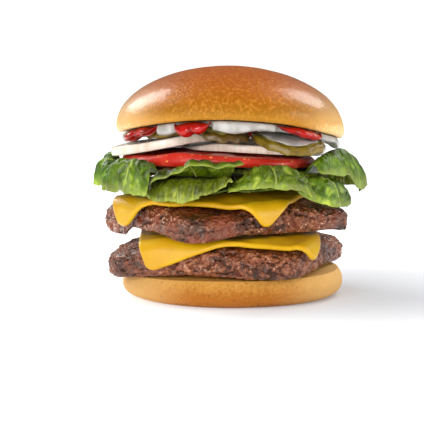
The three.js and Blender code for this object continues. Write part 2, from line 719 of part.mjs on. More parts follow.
add('heel_bun', heelBun(), crumb);
add('patty_lower', beefPatty(LOWER_PATTY), beef);
add('cheese_lower', cheeseSlice(LOWER_CHEESE), cheddar);
add('patty_upper', beefPatty(UPPER_PATTY), beef);
add('cheese_upper', cheeseSlice(UPPER_CHEESE), cheddar);
add('lettuce_bed', lettuceBed(), leafGreen);
for (const leaf of LEAVES) {
  add(leaf.name, lettuceLeaf(leaf), leafGreen);
}
add('tomato', tomatoSlice(), tomatoRed);
add('onion_right', onionSlice(ONION_RIGHT, onionRightBase, onionRightTop, 1.1), onionWhite);
add('onion_left', onionSlice(ONION_LEFT, onionLeftBase, onionLeftTop, 3.4), onionWhite);
for (const pickle of PICKLES) {
  add(pickle.name, pickleSlice(pickle), pickleGreen);
}
add('mayonnaise', mayonnaise(), sauceWhite);
for (const blob of KETCHUP) {
  add(blob.name, ketchupLump(blob), sauceRed);
}
add('crown_bun', crownBun(), crust);

export default burger;
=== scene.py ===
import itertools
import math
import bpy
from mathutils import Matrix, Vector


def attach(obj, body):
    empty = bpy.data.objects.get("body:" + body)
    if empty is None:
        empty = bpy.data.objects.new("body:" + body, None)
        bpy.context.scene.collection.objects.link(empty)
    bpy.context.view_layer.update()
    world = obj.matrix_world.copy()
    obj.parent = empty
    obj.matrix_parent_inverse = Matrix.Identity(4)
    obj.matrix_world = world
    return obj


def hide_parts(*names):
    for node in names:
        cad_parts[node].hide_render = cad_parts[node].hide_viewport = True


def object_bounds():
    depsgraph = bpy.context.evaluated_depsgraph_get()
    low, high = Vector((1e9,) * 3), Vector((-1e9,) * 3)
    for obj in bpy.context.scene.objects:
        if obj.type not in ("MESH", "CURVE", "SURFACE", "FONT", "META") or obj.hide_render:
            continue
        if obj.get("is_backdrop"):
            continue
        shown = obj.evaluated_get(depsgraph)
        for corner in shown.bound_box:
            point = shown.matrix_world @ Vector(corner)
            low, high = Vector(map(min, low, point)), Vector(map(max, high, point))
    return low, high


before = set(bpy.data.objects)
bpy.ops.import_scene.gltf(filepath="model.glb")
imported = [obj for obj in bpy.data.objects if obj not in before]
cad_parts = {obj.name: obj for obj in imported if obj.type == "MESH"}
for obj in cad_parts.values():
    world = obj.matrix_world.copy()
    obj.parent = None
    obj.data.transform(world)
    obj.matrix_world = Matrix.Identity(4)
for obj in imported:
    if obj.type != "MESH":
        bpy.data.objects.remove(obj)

# The looks of a double cheeseburger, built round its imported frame.
# Lengths are in millimetres and angles in degrees until a mesh, a lamp or a shader takes them.
# +Z is up, the front of the burger faces -Y, and the flat underside of the heel stands at z = 0.
# A grid of points is an array (rows, columns, 3); a ring body is a grid closed along its columns.
from types import SimpleNamespace

import bpy
import numpy as np
from mathutils import Vector

cad_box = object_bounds()

# ---------------------------------------------------------------- driving dimensions
MM = 0.001
RAD = math.pi / 180
# Between the crown's cut face and the sauces under it.
GAP = 0.3

# Each row of a relief: its height, its longest wave, its seed and its number of octaves.
HEEL = SimpleNamespace(
    x=0.7, radius=50.4, height=13, droop=0.9, left_droop=2.4, flat_inset=8, cut_inset=2, wide_at=0.1,
    relief=((0.25, 16, 3, 4), (0.12, 3, 5, 4)),
)

PATTY = SimpleNamespace(
    half=46.5, corner=6, edge=5.4, under_edge=3.4, upright=0.25, base_from=47, base_to=59,
    left_from=28, left_to=50, end_from=43.5, end_to=48.5,
)
MINCE = SimpleNamespace(
    coarse=4.4, fine=2, slow=15, gristle=1.6, crack_wave=19, crack_stretch=2.4, crack=0.06,
    drift=1.2, drift_wave=7, seldom=0.45, pull=0.95, pull_wave=14, face=1, hidden=0.4, rim=2.9,
)
LOWER_PATTY = SimpleNamespace(
    x=-1, corner_at=294, base=13.6, top=27, sag=3, sag_from=42, sag_to=60, on_heel=1, base_sag=0,
    left_sag=0, left_fall=1.6, seed=1.7,
)
UPPER_PATTY = SimpleNamespace(
    x=-3, corner_at=256, base=31, top=46.4, sag=5.4, sag_from=28, sag_to=58, on_heel=0, base_sag=2.8,
    left_sag=4.2, left_fall=0, seed=4.1,
)

SLICE = SimpleNamespace(thickness=2.4, bend=84, gap=0.7, slack=0.8, fold=3.4, corner=4.5, edge=1.3)
LOWER_CHEESE = SimpleNamespace(patty=LOWER_PATTY, half=40, corner_at=226.5, x=-1.4, y=-9.4, blunt=4.5, seed=3)
UPPER_CHEESE = SimpleNamespace(patty=UPPER_PATTY, half=42, corner_at=205.5, x=-6.8, y=-1.8, blunt=9, seed=8)

TOMATO = SimpleNamespace(
    x=-5.5, radius=44, top=66.2, fall_right=2.6, droop=1, left_droop=1.2, thickness=5.6, rim_thinning=1.2,
    swell=1.8, swell_x=-23, swell_wide=13, pockets=9, pocket_depth=0.5, grain=0.12, grain_wave=2.5,
)
ONION_LAYER = 3.6
ONION_RIGHT = SimpleNamespace(x=11.2, radius=32.1, thickness=3.6, thinned=1.9, lip=1.5, seed=1.1)
ONION_LEFT = SimpleNamespace(x=-27, radius=28, thickness=4.2, base=63.1, rise=0.19, sinks=0.16, seed=3.4)
PICKLE = SimpleNamespace(
    scallops=11, scallop_depth=0.3, crinkle=0.25, crinkle_wave=6.5, warts=0.25, wart_wave=2.6
)

CROWN = SimpleNamespace(
    x=-0.5, radius=51.9, apex=104.4, apex_x=-1.4, cut_inset=1.9, cheek=2.8, sunk=0.15,
    relief=((0.3, 24, 11, 4), (0.06, 2.4, 13, 2)),
    steps=480, cut_rings=15, cheek_rings=15, dome_rings=90,
)
CUT = SimpleNamespace(side=72.5, fall_right=1.6, fall_back=3, arch=5.5, hollow=8, reach=50)
MAYO = SimpleNamespace(
    radius=49.2, depth=3.4, middle=1.3, clear=0.7, slack=0.4, begins=0.78, full=0.95,
    relief=((0.8, 9, 31, 3),),
)
# Where the mayonnaise hangs deeper: azimuth, half width in degrees, extra depth.
DRIPS = (
    (270, 13, 2), (233, 11, 1.5), (331, 9, 0.3), (352, 14, 1.6),
    (184, 10, 1.4), (130, 20, 1.6), (45, 18, 1.3),
)

LEAF = SimpleNamespace(
    thickness=1, inner=16, inner_lift=1.2, inside=1 / 6, narrow=0.72, notch=0.06, notch_wave=8,
    pleat_radian=0.75, crumple=1.2, crumple_wave=10, rib=0.7, thin_edge=0.25,
)
VEIN = SimpleNamespace(every=8, half_width=0.3, cell=5.2, fading=0.4, branch=0.6, net=0.4)
BED = SimpleNamespace(x=-2, radius=42.5, level=52, droop=3, wave=23, height=1.4, seed=0.9)


def leaf_sizes(first, last, start, profiles, frill, folds, phase, pleat, hem, quilt, ripe):
    """One leaf, from azimuth first to last. Its three profiles, at the first azimuth, midway and at the last,
    run from the start (reach, height) by two guide points to the leaf's edge. It has a number of folds as
    deep as its frill, fine pleats, a hem that flares out at the edge, a depth of blisters between its veins,
    and a share of yellow in its green."""
    return SimpleNamespace(**{**locals(), "start": np.array(start), "profiles": np.array(profiles)})


LEAVES = {
    "left": leaf_sizes(
        164, 211, (42, 55.6),
        [[(52, 57), (57, 69), (58.5, 60)], [(52, 57), (59, 71), (61, 50)], [(50, 57), (54, 62), (55, 50)]],
        1.7, 5.4, 0.6, 0.3, 0, 0.8, 0.1,
    ),
    "front_left": leaf_sizes(
        206, 231, (48.5, 58.2),
        [
            [(52, 66), (61, 66), (60.5, 50)], [(51.5, 67), (60, 67), (59, 47.5)],
            [(51, 65), (57, 64), (57.5, 48)],
        ],
        0.8, 3.2, 2.2, 0.15, 0, 0.8, 0.4,
    ),
    "fold": leaf_sizes(
        223.5, 275, (43, 56.8),
        [
            [(47, 56), (51, 54), (53, 49)], [(48, 63), (54, 65.5), (56.5, 60)],
            [(47, 60), (52, 64), (54.5, 61)],
        ],
        2, 4.6, 6.13, 0.1, 0, 0.6, 0.7,
    ),
    "front": leaf_sizes(
        221, 270, (41, 54.6),
        [
            [(46, 53.6), (50, 52), (51, 48.5)], [(48, 56.8), (54, 55.6), (54, 45.5)],
            [(47, 57), (53, 58), (55, 56)],
        ],
        0.8, 8.8, 0.2, 0.75, 0, 0.4, 1,
    ),
    "front_right": leaf_sizes(
        268, 307, (42, 53.6),
        [
            [(46, 54.4), (50, 54.4), (52, 49.5)], [(48, 66), (55, 64), (56.5, 52)],
            [(50, 62), (59, 57.5), (57.5, 46.5)],
        ],
        0.9, 5.2, 2.6, 0.2, 1.6, 1.5, 0.6,
    ),
    "right_front": leaf_sizes(
        302, 335, (42, 53.4),
        [
            [(47, 57), (51, 56), (52, 49.5)], [(50, 57), (61, 58), (60, 40.8)],
            [(48, 55), (55, 54), (57.5, 45)],
        ],
        0.7, 4.2, 1.9, 0.1, 0, 1, 0.35,
    ),
    "right": leaf_sizes(
        314, 368, (42, 57.2),
        [
            [(45, 61), (50, 64), (53.5, 57.8)], [(47, 66), (55, 77), (61, 50)],
            [(48, 58), (58, 60), (61.5, 45)],
        ],
        0.5, 3.4, 0.4, 0.08, 0, 0.7, 0.3,
    ),
    "back_right": leaf_sizes(
        9, 59, (42, 54.6),
        [[(50, 60), (58, 58), (58, 47)], [(49, 62), (57, 60), (57, 46)], [(48, 60), (55, 60), (56, 48)]],
        1.6, 6.2, 1.4, 0.3, 0, 1, 0.4,
    ),
    "back": leaf_sizes(
        60, 116, (42, 54.8),
        [[(49, 60), (56, 58), (55, 47)], [(48, 64), (56, 64), (58, 48)], [(49, 60), (56, 60), (55, 46)]],
        1.6, 7, 0.8, 0.3, 0, 1, 0.7,
    ),
    "back_left": leaf_sizes(
        118, 162, (42, 54.6),
        [[(49, 61), (55, 60), (56, 47)], [(48, 62), (58, 63), (59, 48)], [(49, 60), (56, 60), (57, 47)]],
        1.6, 6.4, 2.9, 0.3, 0, 1, 0.3,
    ),
}


def pickle_sizes(x, y, radius, thickness, z, slope_x, slope_y, drop_x, drop_y, seed, brown):
    """One pickle slice: centre, size, slopes, how far its right and front sides bend down, and how much
    painted shade darkens its rind.
    """
    return SimpleNamespace(**locals())


# The last number darkens each rind with painted shade, most on the middle slice under the crown.
PICKLES = {
    "left": pickle_sizes(-26.5, -18, 11.2, 3, 75.1, 0.18, 0, 0, 0.4, 2, 0.3),
    "middle": pickle_sizes(-4.6, -31.5, 12.2, 3.2, 77, 0, 0, 4.6, 4.6, 5, 1),
    "right": pickle_sizes(24.5, -29, 16, 3.8, 71.2, -0.14, 0.05, 0, 2.9, 7, 0),
}


def blob_sizes(azimuth, radius, half_length, half_width, depth, lobes):
    """One lump of ketchup lying along the rim of the crown; a lobe has a middle, a half width and a size."""
    return SimpleNamespace(**locals())


KETCHUP = {
    "left": blob_sizes(
        211.8, 47.6, 12.5, 4.4, 6.3, ((-0.504, 0.496, 1), (0.03, 0.56, 0.62), (0.528, 0.472, 0.74))
    ),
    "middle": blob_sizes(249, 48, 8.2, 4.6, 6.8, ((-0.34, 0.66, 1), (0.42, 0.58, 0.84))),
    "right": blob_sizes(308, 48.4, 12.2, 4.6, 4.4, ((0.5, 0.5, 1), (0.1, 0.5, 0.9), (-0.25, 0.75, 0.72))),
    "back": blob_sizes(82, 47, 9.5, 4.6, 6, ((-0.3, 0.7, 1), (0.4, 0.6, 0.8))),
}

MAYO_SMEAR = SimpleNamespace(x=24.6, y=-30.5, half_x=12.6, half_y=12.8, height=0.9)
KETCHUP_SMEAR = SimpleNamespace(x=-23, y=33.6, half_x=8, half_y=4.4, height=1.6)


# ---------------------------------------------------------------- maths on whole arrays
def clamp01(value):
    return np.clip(value, 0, 1)


def mix(a, b, share):
    return a + (b - a) * share


def smoothstep(low, high, value):
    """3t² - 2t³ of where value lies between low and high."""
    t = clamp01((value - low) / (high - low))
    return t * t * (3 - 2 * t)


def soft_min(a, b, softness):
    """The smaller of two heights, rounded over softness where they cross."""
    h = clamp01(0.5 + 0.5 * (b - a) / softness)
    return mix(b, a, h) - softness * h * (1 - h)


def turn_between(a, b):
    """Signed angle from b to a, from -180 to 180."""
    return (a - b + 540) % 360 - 180


def around(steps):
    """Azimuths in radians of the columns of a ring body."""
    return np.arange(steps) * (2 * math.pi / steps)


def lumps(x, y, z, seed, wave):
    """Smooth lumps from -1 to 1: crossed waves of three unlike lengths, weighted 0.5, 0.35 and 0.15."""
    k = 2 * math.pi / wave
    wide = np.sin(k * (x + 0.37 * y) + 1.9 * seed) * np.cos(k * (0.83 * y - 0.21 * z) + seed)
    risen = np.sin(k * 1.63 * (0.78 * y + 0.5 * z) - 2.3 * seed)
    across = np.cos(k * 1.41 * (x - 0.6 * z) + 0.7 * seed)
    fine = np.sin(k * 2.3 * (0.62 * x - 0.71 * y + 0.4 * z) + 3.1 * seed)
    return 0.5 * wide + 0.35 * risen * across + 0.15 * fine


def swell(phi, seed):
    """Slow swelling of an outline from -1 to 1: waves of two, three and five to the turn."""
    return 0.5 * np.sin(2 * phi + seed) + 0.3 * np.sin(3 * phi + 2.1 * seed) + 0.2 * np.sin(5 * phi - seed)


def scattered(cell, seed):
    """A number from 0 to 1 for each whole-number cell: what a large sine leaves after its point."""
    large = np.sin(cell @ np.array([127.1, 311.7, 74.7]) + 53.3 * seed) * 43758.5453
    return large - np.floor(large)


def noise(points, wave, seed):
    """Smooth noise from -1 to 1: scattered values at the corners of cubes, blended by 3t² - 2t³."""
    scaled = points / wave
    cell = np.floor(scaled)
    t = scaled - cell
    t = t * t * (3 - 2 * t)
    total = 0
    for corner in itertools.product((0, 1), repeat=3):
        weight = np.prod(np.where(corner, t, 1 - t), axis=-1)
        total = total + weight * scattered(cell + corner, seed)
    return 2 * total - 1


def rough(points, wave, seed, octaves=4):
    """Noise summed over octaves, each half as long and half as strong as the one before."""
    return sum(noise(points, wave / 2**k, seed + 7 * k) / 2**k for k in range(octaves)) / 1.6


def relief_of(points, rows):
    """Sum of rough noises, each row giving a height, a longest wave, a seed and a number of octaves."""
    return sum(height * rough(points, wave, seed, octaves) for height, wave, seed, octaves in rows)


def near_spots(points, wave, seed):
    """One scattered spot lies in each cube wave wide. For the 27 cubes about the points: the cube, and how
    many cubes away its spot is."""
    scaled = points / wave
    cell = np.floor(scaled)
    for step in itertools.product((-1, 0, 1), repeat=3):
        here = cell + step
        spot = here + np.stack([scattered(here, seed + 3.7 * axis) for axis in range(3)], axis=-1)
        yield here, np.linalg.norm(scaled - spot, axis=-1)


def cells(points, wave, seed):
    """Distances, in cubes, to the nearest and the second nearest of the scattered spots."""
    nearest = np.full(points.shape[:-1], 9.0)
    second = nearest
    for _, distance in near_spots(points, wave, seed):
        second = np.minimum(second, np.maximum(nearest, distance))
        nearest = np.minimum(nearest, distance)
    return nearest, second


def pebbles(points, wave, seed):
    """Rounded grains: over each scattered spot stands a dome h(1 - 1.7 d²), d cubes away, its height h
    between 0.55 and 1; the highest dome counts."""
    highest = np.full(points.shape[:-1], -1.0)
    for here, distance in near_spots(points, wave, seed):
        height = 0.55 + 0.45 * scattered(here, seed + 9.1)
        highest = np.maximum(highest, height * (1 - 1.7 * distance**2))
    return highest


def spun(x, y, reach, phi, z):
    """Points at a reach and azimuth phi from the upright line through x, y."""
    return np.stack(np.broadcast_arrays(x + reach * np.cos(phi), y + reach * np.sin(phi), z), axis=-1)


def normals_of(grid, closed):
    """Unit normals of a grid: the cross product of its slopes along the columns and along the rows."""
    wrapped = np.concatenate([grid[:, -1:], grid, grid[:, :1]], axis=1) if closed else grid
    along = np.gradient(wrapped, axis=1)
    along = along[:, 1:-1] if closed else along
    normal = np.cross(along, np.gradient(grid, axis=0))
    return normal / np.maximum(np.linalg.norm(normal, axis=-1, keepdims=True), 1e-9)


def raised(points, lift, closed=True):
    """Points moved outwards along their normals by a lift at each."""
    return points + normals_of(points, closed) * lift[..., None]


def flat_length(grid, axis):
    """Length of the grid's lines up to each point along an axis."""
    steps = np.linalg.norm(np.diff(grid, axis=axis), axis=-1)
    return np.insert(np.cumsum(steps, axis=axis), 0, 0, axis=axis)


# ---------------------------------------------------------------- meshes
def mesh_body(name, points, quads, triangles, values):
    """A smooth mesh object at the origin from millimetre points, index rows, and a number for each point."""
    mesh = bpy.data.meshes.new(name)
    mesh.vertices.add(len(points))
    mesh.vertices.foreach_set("co", (points * MM).astype(np.float32).ravel())
    corners = np.concatenate([quads.ravel(), triangles.ravel()]).astype(np.int32)
    sides = np.repeat([4, 3], [len(quads), len(triangles)])
    mesh.loops.add(len(corners))
    mesh.loops.foreach_set("vertex_index", corners)
    mesh.polygons.add(len(sides))
    mesh.polygons.foreach_set("loop_start", (np.cumsum(sides) - sides).astype(np.int32))
    mesh.update(calc_edges=True)
    mesh.validate()
    mesh.shade_smooth()
    for label, numbers in values.items():
        attribute = mesh.attributes.new(label, "FLOAT", "POINT")
        attribute.data.foreach_set("value", np.asarray(numbers, dtype=np.float32).ravel())
    body = bpy.data.objects.new(name, mesh)
    bpy.context.scene.collection.objects.link(body)
    return body


def ring_body(name, rings, **values):
    """A closed body from rings, lowest first: neighbours are joined by quads. The first and last ring are
    each drawn together to one point, which triangles join to the next ring."""
    count, steps = rings.shape[:2]

    def packed(grid):
        between = grid[1:-1].reshape(-1, *grid.shape[2:])
        return np.concatenate([grid[:1].mean(axis=1), between, grid[-1:].mean(axis=1)])

    step = np.arange(steps)
    after = (step + 1) % steps
    first = 1 + steps * np.arange(count - 3)[:, None]
    quads = np.stack([first + step, first + after, first + steps + after, first + steps + step], axis=-1)
    last = 1 + steps * (count - 2)
    bottom = np.stack([0 * step, 1 + after, 1 + step], axis=-1)
    top = np.stack([last - steps + step, last - steps + after, 0 * step + last], axis=-1)
    packed_values = {label: packed(grid) for label, grid in values.items()}
    return mesh_body(name, packed(rings), quads.reshape(-1, 4), np.concatenate([bottom, top]), packed_values)


def sheet_body(name, upper, lower, **values):
    """A thin closed body from an upper and a lower grid, joined round their edge by quads."""
    rows, columns = upper.shape[:2]
    index = np.arange(rows * columns).reshape(rows, columns)
    faces = np.stack([index[:-1, :-1], index[:-1, 1:], index[1:, 1:], index[1:, :-1]], axis=-1)
    backs = (faces + rows * columns)[..., ::-1]
    rim = np.concatenate([index[0, :-1], index[:-1, -1], index[-1, :0:-1], index[:0:-1, 0]])
    after = np.roll(rim, -1)
    edge = np.stack([rim, rim + rows * columns, after + rows * columns, after], axis=-1)
    quads = np.concatenate([faces.reshape(-1, 4), backs.reshape(-1, 4), edge])
    points = np.concatenate([upper.reshape(-1, 3), lower.reshape(-1, 3)])
    doubled = {label: np.concatenate([grid.ravel(), grid.ravel()]) for label, grid in values.items()}
    return mesh_body(name, points, quads, np.zeros((0, 3), dtype=int), doubled)


def slab_rings(x, y, radius, base, top, inset, face_rings, rim_rings, steps, crowding=1.6):
    """Rings of a slab between base(x, y) and top(x, y) inside radius(phi).

    A ring has a share of the reach and a place s on the rim, from -1 at the base to 1 at the top. The
    share grows as 1 - (1 - t)^crowding over the base, is 1 round the rim, and falls back over the top.
    The rim is pulled in by inset(s)."""
    share = 1 - (1 - np.linspace(0, 1, face_rings + 1)[:-1]) ** crowding
    shares = np.concatenate([share, np.ones(rim_rings), share[::-1]])[:, None]
    on_rim = np.sin(np.linspace(-90, 90, rim_rings) * RAD)
    s = np.concatenate([-np.ones(face_rings), on_rim, np.ones(face_rings)])[:, None]
    phi = around(steps)[None, :]
    reach = (radius(phi) - inset(s)) * shares
    px = x + reach * np.cos(phi)
    py = y + reach * np.sin(phi)
    z = mix(base(px, py), top(px, py), (s + 1) / 2)
    return SimpleNamespace(points=spun(x, y, reach, phi, z), s=s, shares=shares, phi=phi)


def dress(body, finish, slot, *nodes):
    """Gives a new piece its finish, lets it ride on the burger, and hides the nodes that it stands for."""
    body.data.materials.append(finish)
    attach(body, "root")
    if nodes:
        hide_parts(*nodes)


# ---------------------------------------------------------------- shader sums
class Value:
    """A shader socket in a sum: each operator adds one Math node and gives its result."""

    def __init__(self, paint, socket):
        self.paint = paint
        self.socket = socket

    def sums(operation):
        return lambda self, *other: self.paint.maths(operation, self, *other)

    __add__ = __radd__ = sums("ADD")
    __sub__ = sums("SUBTRACT")
    __mul__ = __rmul__ = sums("MULTIPLY")
    __truediv__ = sums("DIVIDE")
    __abs__ = sums("ABSOLUTE")

    def __rsub__(self, other):
        return self.paint.maths("SUBTRACT", other, self)


class Paint:
    """A material in the making. Lengths given to it are in millimetres."""

    def __init__(self, name):
        self.material = bpy.data.materials.new(name)
        self.material.use_nodes = True
        self.tree = self.material.node_tree
        self.tree.nodes.clear()
        self.shader = self.tree.nodes.new("ShaderNodeBsdfPrincipled")
        output = self.tree.nodes.new("ShaderNodeOutputMaterial")
        self.tree.links.new(self.shader.outputs[0], output.inputs[0])

    def set(self, socket, value):
        """Links a value to a socket, or writes a constant on it."""
        if isinstance(value, Value):
            self.tree.links.new(value.socket, socket)
        else:
            socket.default_value = value

    def node(self, kind, settings, inputs, output=0):
        """Adds a node of a kind, with its settings first, then its sockets by name or number."""
        made = self.tree.nodes.new(kind)
        for label, setting in settings.items():
            if label == "stops":
                self.set_stops(made.color_ramp, setting)
            else:
                setattr(made, label, setting)
        for label, value in inputs.items():
            self.set(made.inputs[label], value)
        return Value(self, made.outputs[output])

    @staticmethod
    def set_stops(ramp, stops):
        while len(ramp.elements) < len(stops):
            ramp.elements.new(0.5)
        for element, (position, colour) in zip(ramp.elements, stops):
            element.position = position
            element.color = (*colour, 1)

    def maths(self, operation, *values):
        return self.node("ShaderNodeMath", {"operation": operation}, dict(enumerate(values)))

    def place(self, stretch=(1, 1, 1), shift=(0, 0, 0)):
        """Object coordinates in millimetres, stretched along each axis."""
        here = self.node("ShaderNodeTexCoord", {}, {}, "Object")
        scale = tuple(1000 / part for part in stretch)
        return self.node("ShaderNodeMapping", {}, {"Vector": here, "Scale": scale, "Location": shift})

    def attribute(self, label):
        return self.node("ShaderNodeAttribute", {"attribute_name": label}, {}, "Fac")

    def noise(self, place, wave, detail=3, roughness=0.5):
        """Fractal noise from 0 to 1, its longest wave in millimetres."""
        sockets = {"Vector": place, "Scale": 1 / wave, "Detail": detail, "Roughness": roughness}
        return self.node("ShaderNodeTexNoise", {}, sockets, "Fac")

    def cells(self, place, wave):
        """Distance to the nearest spot of cells a wave wide."""
        return self.node("ShaderNodeTexVoronoi", {}, {"Vector": place, "Scale": 1 / wave}, "Distance")

    def step(self, value, low, high):
        """0 below low, 1 above high, and smooth between."""
        settings = {"interpolation_type": "SMOOTHSTEP"}
        return self.node("ShaderNodeMapRange", settings, {"Value": value, "From Min": low, "From Max": high})

    def blend(self, share, a, b):
        """The colour a where share is 0 and b where it is 1."""
        settings = {"data_type": "RGBA"}
        a, b = (part if isinstance(part, Value) else (*part, 1) for part in (a, b))
        return self.node("ShaderNodeMix", settings, {0: share, 6: a, 7: b}, 2)

    def ramp(self, value, *stops):
        return self.node("ShaderNodeValToRGB", {"stops": stops}, {"Fac": value}, "Color")

    def along(self, axis):
        """How far the place lies along X, Y or Z, in millimetres; Z is the height above the table."""
        return self.node("ShaderNodeSeparateXYZ", {}, {"Vector": self.place()}, axis)

    def bump(self, height, depth, under=None):
        """Normal of a relief: height times depth in millimetres, over another normal."""
        inputs = {"Height": height, "Distance": depth * MM, "Strength": 1}
        if under is not None:
            inputs["Normal"] = under
        return self.node("ShaderNodeBump", {}, inputs)

    def finish(self, **sockets):
        """Sets the shader's sockets, named with _ for a space, and gives the material."""
        for label, value in sockets.items():
            name = label.replace("_", " ").title().replace("Ior", "IOR")
            if isinstance(value, tuple) and len(value) == 3 and ("Color" in name or "Tint" in name):
                value = (*value, 1)
            self.set(self.shader.inputs[name], value)
        return self.material


def colour(red, green, blue):
    """Linear colour of an sRGB one given from 0 to 255."""
    parts = np.array([red, green, blue]) / 255
    linear = np.where(parts <= 0.04045, parts / 12.92, ((parts + 0.055) / 1.055) ** 2.4)
    return tuple(float(part) for part in linear)


# ---------------------------------------------------------------- finishes
def crust_finish():
    """Baked crust: chestnut on top, golden lower down and pale at the rim, finely wrinkled and mottled, with
    a soft shine on its shoulders. Its left and right ends are made paler by painted light."""
    paint = Paint("crust")
    height = paint.along("Z")
    place = paint.place()
    slow = paint.noise(place, 16)
    mottle = paint.noise(place, 1.5, 4, 0.6)
    streaks = paint.noise(paint.place((0.7, 0.7, 6)), 1.1)
    level = height + (slow - 0.5) * 9 + (mottle - 0.5) * 8 + (streaks - 0.5) * 5
    body = paint.ramp(
        paint.step(level, 72, 104),
        (0.03, colour(226, 186, 116)),
        (0.1, colour(176, 122, 40)),
        (0.34, colour(142, 90, 14)),
        (0.7, colour(168, 90, 12)),
        (1, colour(172, 80, 6)),
    )
    aside = abs(paint.along("X"))
    # Painted light: the crown's left and right ends are blended towards a pale gold.
    ends = paint.step(aside, 26, 52) * paint.step(height, 98, 80)
    body = paint.blend(ends * 0.55, body, colour(238, 198, 136))
    freckled = paint.blend(paint.step(mottle, 0.46, 0.68) * 0.4, body, colour(218, 146, 60))
    wrinkles = paint.cells(place, 1.2) * 0.5 + mottle
    relief = paint.bump(wrinkles, 0.3)
    relief = paint.bump(streaks * paint.step(height, 94, 74), 0.14, relief)
    return paint.finish(
        base_color=freckled,
        roughness=mottle * 0.2 + 0.3,
        normal=relief,
        specular_ior_level=0.3,
        specular_tint=colour(255, 206, 140),
        coat_weight=paint.step(aside, 14, 30) * paint.step(height, 80, 88) * 0.5,
        coat_roughness=0.2,
    )


def heel_finish():
    """Bread crust of the heel: golden, with a fine grain, darker at the foot and a pale cut edge; painted
    light makes its left and right sides paler, and painted shade darkens its pores.
    """
    paint = Paint("heel_crust")
    height = paint.along("Z")
    place = paint.place()
    grain = paint.noise(place, 1.3, 4, 0.7)
    slow = paint.noise(place, 12)
    pores = paint.step(paint.cells(place, 2.2), 0.2, 0.08)
    level = height + (slow - 0.5) * 3.5 + (grain - 0.5) * 15
    body = paint.ramp(
        level / HEEL.height,
        (0, colour(150, 84, 24)),
        (0.12, colour(178, 108, 32)),
        (0.45, colour(168, 98, 26)),
        (0.85, colour(200, 142, 60)),
        (1, colour(206, 150, 72)),
    )
    # Painted light: the left and right sides of the heel are blended towards a pale gold.
    paler = paint.blend(paint.step(abs(paint.along("X")), 14, 48) * 0.75, body, colour(230, 184, 112))
    # Painted shade: some pores are darkened, as if shade lay in their pits.
    pitted = paint.blend(pores * paint.step(slow, 0.5, 0.6) * 0.4, paler, colour(110, 58, 20))
    relief = paint.bump(grain, 0.9)
    relief = paint.bump(1 - pores, 0.2, relief)
    return paint.finish(
        base_color=pitted,
        roughness=0.6,
        normal=relief,
        specular_ior_level=0.15,
    )


def beef_finish(name, rosy, fatty):
    """Browned mince, glossy where the juice stands. Its colour follows the relief: painted shade darkens its
    cracks and painted light makes the tops of its grains pale, and small pale dots on raised grains are
    painted highlights."""
    paint = Paint(name)
    height = paint.attribute("relief")
    place = paint.place()
    slow = paint.noise(place, 8)
    fine = paint.noise(place, 1.3, 5, 0.7)
    grains = paint.cells(place, 1.5)
    # The colour follows the relief: painted shade in the cracks, painted light on the tops of the grains.
    level = height * 0.85 + (fine - 0.5) * 0.9 + (slow - 0.5) * 0.6 - grains * 0.15 + 0.12
    body = paint.ramp(
        level,
        (0.08, colour(46, 16, 8)),
        (0.32, colour(108, 52, 26)),
        (0.62, colour(160, 92, 56)),
        (0.95, colour(222, 168, 134)),
    )
    warm = paint.blend(paint.step(slow, 0.47, 0.6) * rosy, body, colour(118, 42, 20))
    juice = paint.step(paint.noise(place, 3), 0.4, 0.58)
    # Painted highlights: small pale dots on the raised grains, stronger where the juice stands.
    flecks = paint.step(paint.cells(paint.place((1, 1, 1.3)), 0.95), 0.42, 0.2) * paint.step(height, 0.2, 0.5)
    flecked = paint.blend(flecks * (juice * 0.8 + 0.16) * fatty, warm, colour(242, 196, 160))
    relief = paint.bump(fine, 0.9)
    relief = paint.bump(1 - grains, 0.6, relief)
    return paint.finish(
        base_color=flecked,
        roughness=0.28 - juice * 0.17,
        normal=relief,
        specular_ior_level=1,
        specular_tint=colour(255, 214, 190),
        coat_weight=juice * 0.4,
        coat_roughness=0.07,
    )


def cheese_finish():
    """Melted cheese: even warm yellow, satin, deeper in colour on slow patches."""
    paint = Paint("melted_cheese")
    place = paint.place()
    slow = paint.noise(place, 12, 2)
    fine = paint.noise(place, 2)
    body = paint.blend(paint.step(slow, 0.35, 0.7), colour(204, 160, 12), colour(198, 148, 8))
    return paint.finish(
        base_color=body,
        roughness=0.3 + fine * 0.12,
        normal=paint.bump(fine, 0.04),
        specular_ior_level=0.3,
        subsurface_weight=0.4,
        subsurface_radius=(0.006, 0.004, 0.001),
    )


def lettuce_finish():
    """Crisp leaf: green blades, pale ribs and veins, yellower at the edge; painted shade darkens it between
    its blisters and in its folds, and painted light makes its crests paler.
    """
    paint = Paint("lettuce_leaf")
    place = paint.place()
    vein = paint.attribute("vein")
    tip = paint.attribute("tip")
    crest = paint.attribute("crest")
    ripe = paint.attribute("ripe")
    slow = paint.noise(place, 9)
    fine = paint.noise(place, 1.2, 4, 0.6)
    # Painted light and shade: the leaf is paler on its crests and darker in its hollows.
    level = crest * 0.6 + (slow - 0.5) * 1.1 + fine * 0.3
    green = paint.ramp(
        level,
        (0.06, colour(18, 40, 2)),
        (0.42, colour(70, 112, 6)),
        (0.85, colour(158, 188, 44)),
    )
    yellow = paint.ramp(
        level,
        (0.06, colour(40, 44, 2)),
        (0.42, colour(98, 110, 10)),
        (0.85, colour(200, 204, 86)),
    )
    blade = paint.blend(ripe, green, yellow)
    veined = paint.blend(paint.step(vein, 0.2, 0.9) * 0.7, blade, colour(190, 200, 96))
    edged = paint.blend(paint.step(tip, 0.9, 1) * 0.3, veined, colour(188, 200, 84))
    return paint.finish(
        base_color=edged,
        roughness=0.3 + fine * 0.12,
        normal=paint.bump(fine, 0.3),
        specular_ior_level=0.32,
    )


